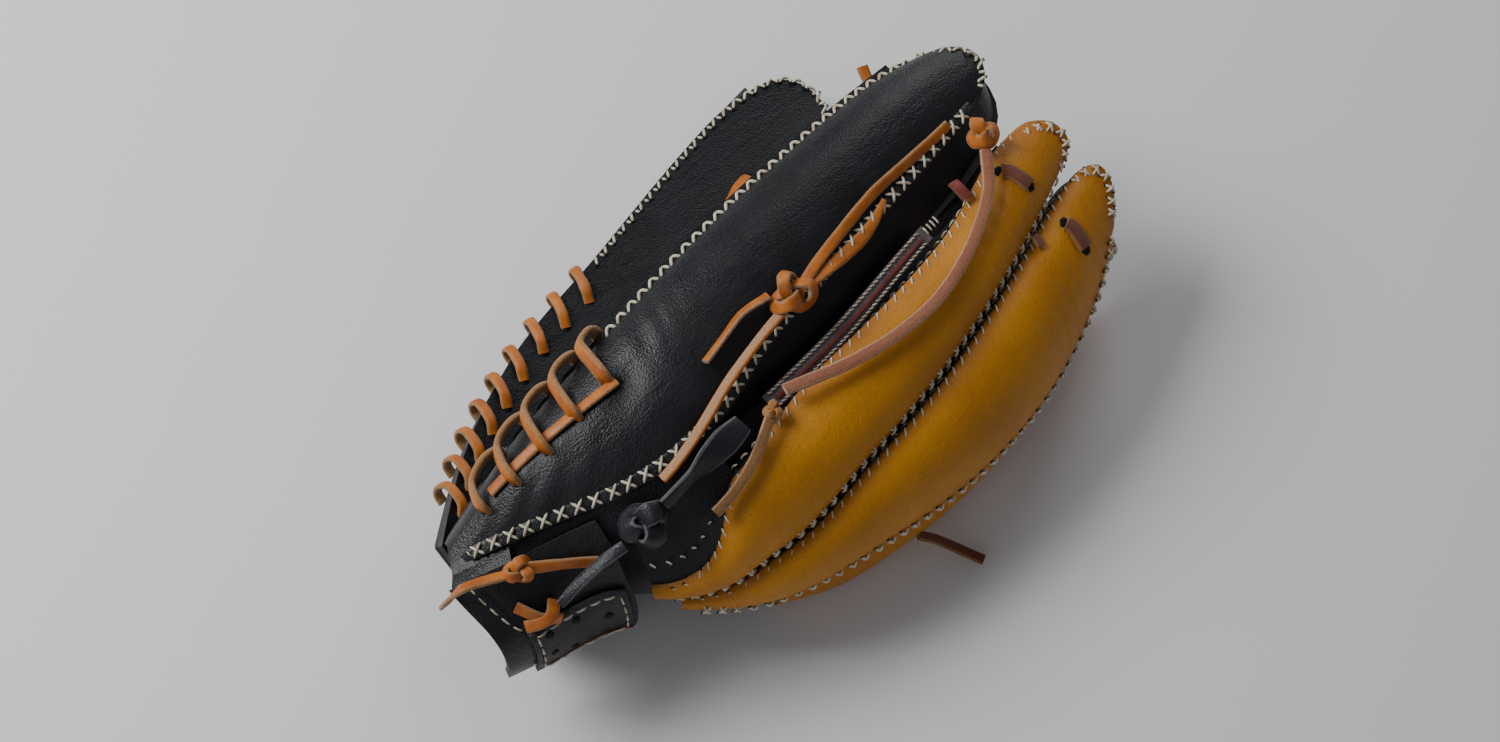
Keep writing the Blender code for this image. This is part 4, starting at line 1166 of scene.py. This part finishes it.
guide = [(0.285, -69), (0.27, -80), (0.255, -92), (0.24, -104), (0.23, -116), (0.22, -126)]
guide = [(u, x, float(finger_b("pinky", u, x)) + 1.2) for u, x in guide]
lace("pinky_heel_guide", guide, 4.6, 1.5, MIXED, FINGER, nodes=("heel_guide_lace",), turn=(25, 30, 20, 28))


def raised(u, place, lift):
    return skin(u, place, float(finger_b("pinky", u, place)) + lift)


PINKY_LOOPS = ((-60.0, 0.25, -71.0), (-72.0, 0.29, -87.0), (-87.0, 0.33, -102.0), (-101.0, 0.34, -117.0),
               (-116.0, 0.31, -131.0))
for k, (x, end_u, end_x) in enumerate(PINKY_LOOPS):
    span = x - end_x
    edge, out, up, along = edge_point(0.0, x, 1)
    beside, out_b, up_b, _ = edge_point(0.0, x - 0.4 * span, 1)
    beyond, out_c, up_c, _ = edge_point(0.0, x - 0.8 * span, 1)
    line = smooth_line([edge - out * 2.6 - up * 4.4, edge + out * 2.0 - up * 2.4,
                        edge + out * 3.0 + up * 2.0 - along * 1.5,
                        beside + out_b * 3.2 + up_b * 5.4, beyond + out_c * 0.8 + up_c * 8.6,
                        raised(end_u * 0.42, end_x + 0.8, 5.6), raised(end_u * 0.82, end_x, 3.9),
                        raised(end_u, end_x - 0.3, -0.6)], 0.9)
    middle = raised(end_u * 0.75, x - 0.45 * span, -4.0)
    heel_loop("pinky_heel_loop_%d" % k, line, middle, 5.8, FINGER, k + 20,
              ["pinky_heel_lace"] if k == 0 else [], 2.5)
    hole_marks[FINGER].append((raised(end_u, end_x - 0.3, 0.0), up))
hole_marks[FINGER].append((skin(*[np.array(v) for v in guide[0]]) - up, up))
for body, marks in hole_marks.items():
    dots(body + "_lace_holes", marks, body, 2.1)

# ------------------------------------------------------------------ build: tied laces
def over(finger, places, lift):
    return [(u, x, float(finger_b(finger, u, x)) + lift) for u, x in places]


lace("pinky_tie_long", over("pinky", [(0.55, 101), (0.55, 90), (0.54, 74), (0.53, 55), (0.55, 34),
                                      (0.57, 18),
                                      (0.6, 6)], 1.5),
     4.6, 1.7, [LACE, LACE_BACK], FINGER, nodes=("pinky_tie_lace",), turn=(-35, -30, -38, -30, -20, 0, 20))
lace("pinky_tie_second", over("pinky", [(0.6, 57), (0.64, 48), (0.655, 40), (0.65, 30), (0.635, 20),
                                        (0.62, 8)], 1.9),
     5.6, 1.5, MIXED, FINGER, nodes=("pinky_tie_return",), turn=(0, -10, 5, 20),
     taper=(0.35, 0.8, 1, 1, 0.9, 0.7))
n = skin_normal(0.6, -1)
along = skin(0.6, 10, 23) - skin(0.6, -10, 23)
tied_knot("pinky_knot", skin(0.6, -1, 23.4), n, along, 20.5, 5.2, 1.8, MIXED, FINGER, "lace_rawhide",
          ["pinky_tie_knot"])
free_end("pinky_end_long", [(0.63, -9, 21.2), (0.65, -24, 20.0), (0.7, -43, 20.0), (0.79, -60, 19.5),
                            (0.92, -80, 18.3)], 4.6, 1.8, [PALE, LACE], FINGER, "pinky_tail_long",
         turn=(30, 40, 35, 30, 40))
free_end("pinky_end_short", [(0.52, -8, 21.4), (0.49, -20, 19.9), (0.51, -31, 19.7), (0.54, -43.5, 19.6)],
         4.0, 1.7, [LACE, PALE], FINGER, "pinky_tail_short", turn=(30, 50, 60, 55))

n = skin_normal(0.76, 107)
along = skin(0.95, 103, 19) - skin(0.6, 111, 19)
tied_knot("tip_knot", skin(0.76, 108, 19.4), n, along, 15.0, 6.0, 1.7, MIXED, FINGER, "lace_rawhide",
          ["tip_tie_knot"], flat=0.36)
free_end("tip_end", [(0.86, 103, 19.6), (1.12, 88, 20.4), (1.3, 66, 20.6), (1.34, 44, 20.6), (1.25, 22,
                     20.6),
                     (1.12, 0, 20.4), (1.02, -16, 20.0), (0.94, -29, 19.8)], 5.0, 2.2, [PINK, PALE], FINGER,
         "tip_tail", turn=(10, 25, 15, 25, 20, 10, 20))
n = skin_normal(0.98, -37)
along = skin(1.1, -50, 18) - skin(0.98, -37, 18)
tied_knot("gusset_knot", skin(0.98, -37, 18.2), n, along, 8.4, 3.2, 1.2, [LACE_BACK, LACE], FINGER,
          "lace_rawhide", ["gusset_tie_knot"])
free_end("gusset_end", [(1.0, -40, 18.2), (1.14, -56, 18.4), (1.26, -72.5, 18.0)], 4.2, 1.8, [TAN,
         PALE], FINGER,
         "gusset_tail", turn=(0, 15, 10))
lace("ring_tip_loop", over("ring", [(1.08, 104), (1.14, 106), (1.3, 107), (1.4, 107.5)], 0.7), 6.6, 2.0,
     ROUGH_DARK, FINGER, nodes=("ring_tip_lace",), wobble=0.09)
lace("middle_tip_loop", over("middle", [(2.28, 111.5), (2.36, 112), (2.5, 111.5), (2.58, 111)], 0.7),
     6.6, 2.0,
     ROUGH_DARK, FINGER, nodes=("middle_tip_lace",), wobble=0.09)
lace("finger_gap_loop", [(1.97, 97, 14.6), (2.12, 95.5, 16.7)], 4.2, 1.5, ROUGH_DARK, FINGER,
     nodes=("finger_gap_lace",))
lace("pinky_gap_loop", [(0.84, 86, 13.0), (0.9, 85.5, 14.2), (1.0, 85, 14.8)], 5.2, 1.6, [RED, DEEP], FINGER,
     nodes=("pinky_gap_lace",))

# short lace ends: one on the thumb's palm, one behind the pinky's outer edge
lace("thumb_palm_wedge", [(5.4, 64, -0.4), (5.37, 56, -3.0), (5.35, 48, -3.8), (5.34, 40, -3.0)], 7.0, 1.8,
     [LACE, LACE], THUMB, turn=(10, 25, 30, 20), taper=(0.8, 1.15, 0.8, 0.35))
dots("thumb_palm_hole", [(skin(5.41, 63, -0.9), -skin_normal(5.41, 63))], THUMB, 2.6)
edge, out, up, along = edge_point(0.0, 100.0, 1)
made = ribbon("pinky_edge_lace_bit", smooth_line([edge - out * 3 - up * 3.6, edge + out * 1.5 - up * 3.4,
                                                  edge + out * 6.0 - up * 2.6 + along * 1.5], 0.9),
              up + out * 0.2, 5.0, 1.7, MIXED)
carry(made, FINGER, "lace_rawhide")
tip_holes = []
for finger, ends in (("ring", ((1.06, 103.6), (1.42, 107.8))), ("middle", ((2.26, 111.4), (2.6, 110.9)))):
    for u, x in ends:
        tip_holes.append((skin(u, x, float(finger_b(finger, u, x)) + 0.1), skin_normal(u, x)))
dots("tip_lace_holes", tip_holes, FINGER, 2.5)

# leather thong and lace at the wrist
THONGS = [THONG, THONG_EDGE]
n = skin_normal(1.14, -92)
along = skin(1.24, -104, 21) - skin(1.04, -80, 21)
tied_knot("thong_knot", skin(1.14, -92, 21.6), n, along, 21.0, 8.6, 1.7, THONGS, FINGER, "black_leather",
          ["wrist_thong_knot"], flat=0.36)
free_end("thong_end_up", [(1.06, -84, 21.2), (1.0, -74, 21.0), (0.95, -63, 20.8), (0.92, -49, 20.2)],
         6.8, 1.9,
         THONGS, FINGER, "wrist_thong_up", slot="black_leather", turn=(30, 55, 25, -5),
         taper=(0.8, 1.1, 1.6, 1.75, 1.2))
free_end("thong_end_down", [(1.24, -101, 21.2), (1.36, -114, 21.6), (1.5, -124, 21.8), (1.7, -133,
         22.2)], 5.2, 1.8,
         THONGS, FINGER, "wrist_thong_down", slot="black_leather", turn=(20, 60, 55, 30),
         taper=(0.9, 1, 0.9, 0.7))
n = skin_normal(1.12, -137)
along = skin(1.3, -120, 22) - skin(1.1, -150, 22)
tied_knot("wrist_knot", skin(1.12, -137, 22.4), n, along, 12.5, 4.2, 1.5, MIXED, FINGER, "lace_rawhide",
          ["wrist_lace_knot"])
lace("wrist_lace_in", [(1.13, -134, 22.0), (1.18, -129, 20.6), (1.26, -121, 19.0), (1.36, -113, 17.2)],
     5.0, 1.6,
     MIXED, FINGER, nodes=("wrist_lace",), turn=(10, 25, 10))
tail = [tuple(p) for p in skin(np.array([1.115, 1.08, 1.1]), np.array([-141.0, -151.0, -158.0]),
                               np.array([22.4, 24.2, 25.6]))] + [(-171.0, 6.0, 70.0)]
free_end("wrist_lace_end", tail, 5.0, 1.8, MIXED, FINGER, "wrist_lace_tail", world=True, turn=(20, 30, 40))
lace("wrist_cross_a", [(1.58, -147, 19.6), (1.8, -143.5, 21.6), (2.0, -140, 21.8), (2.1, -136, 21.0)],
     5.2, 1.6,
     MIXED, FINGER, nodes=("wrist_cross_lace",), turn=(20, 30, 10))
lace("wrist_cross_b", [(1.66, -134, 19.2), (1.84, -138, 23.2), (1.94, -143, 23.4), (1.98, -149, 20.4)],
     5.0, 1.5,
     MIXED, FINGER, turn=(0, 20, 30))
free_end("index_lace_end", [(-7, -87.5, 25.2), (-2, -92, 21), (1.5, -96.5, 17.4), (4.5, -101.5, 14.6),
                            (8.5, -110, 12.2)], 4.4, 2.0,
         ROUGH_DARK, FINGER, "index_lace_tail", world=True, stiffness="stiff", lay="loose")

# lacing of the web
lace("web_spine", [(4.5, 8, 5.2), (4.5, 50, 5.4), (4.5, 97, 5.2)], 4.2, 1.5, MIXED, "both",
     nodes=("web_spine_lace",))
lace("web_thumb_side", [(4.98, 6, -1.4), (4.98, 50, -1.4), (4.97, 94, -1.4)], 4.0, 1.5, MIXED, THUMB,
     nodes=("thumb_web_lace",))
lace("web_index_side", [(halves_u(8) + 0.07, 8, -1.4), (4.06, 50, -1.4), (4.06, 92, -1.4)], 4.0, 1.5, MIXED,
     "both", nodes=("index_web_lace",))

# ------------------------------------------------------------------ floor, light, camera
def stage_floor():
    bpy.ops.mesh.primitive_plane_add(size=14.0, location=(0, 0, 0))
    floor = bpy.context.object
    floor.name = "floor"
    n = Nodes("pale_floor")
    colour = n.mix((0.80, 0.80, 0.81, 1.0), (0.84, 0.84, 0.85, 1.0), n.noise(3.0, 3))
    floor.data.materials.append(n.done(colour, 0.9, None, Specular_IOR_Level=0.15))


def soft_light(name, place, aim, size, power, colour=(1, 1, 1)):
    data = bpy.data.lights.new(name, "AREA")
    data.shape = "RECTANGLE"
    data.size, data.size_y = size
    data.energy = power
    data.color = colour
    made = bpy.data.objects.new(name, data)
    bpy.context.scene.collection.objects.link(made)
    made.location = place
    made.rotation_euler = (Vector(aim) - Vector(place)).to_track_quat("-Z", "Y").to_euler()


AIM_LEFT, AIM_BELOW = 0.0100, 0.0076          # the aim lies beside and below the glove's middle


def camera():
    az, el, distance, lens = math.radians(-45.0), math.radians(62.0), 1.15, 69.0
    back = Vector((math.sin(az) * math.cos(el), -math.cos(az) * math.cos(el), math.sin(el)))
    right = Vector((math.cos(az), math.sin(az), 0))
    up = back.cross(right)
    aim = Vector((0, 0, 0.055)) - right * AIM_LEFT - up * AIM_BELOW + Vector(MOVE * MM)
    data = bpy.data.cameras.new("camera")
    data.lens = lens
    data.sensor_width = 36
    made = bpy.data.objects.new("camera", data)
    bpy.context.scene.collection.objects.link(made)
    made.location = aim + back * distance
    made.rotation_euler = back.to_track_quat("Z", "Y").to_euler()
    bpy.context.scene.camera = made


stage_floor()
soft_light("key_left", (-0.50, 0.80, 1.0), (0, 0, 0.05), (0.7, 0.7), 17)
soft_light("fill_front", (-1.1, -0.5, 0.9), (0, 0, 0.05), (1.0, 1.0), 1.6)
soft_light("rim_back", (0.9, 0.5, 0.6), (0, 0, 0.05), (0.5, 0.9), 3.5)
world = bpy.data.worlds.new("studio")
world.use_nodes = True
world.node_tree.nodes["Background"].inputs["Color"].default_value = (0.9, 0.92, 1.0, 1.0)
world.node_tree.nodes["Background"].inputs["Strength"].default_value = 0.16
bpy.context.scene.world = world
camera()
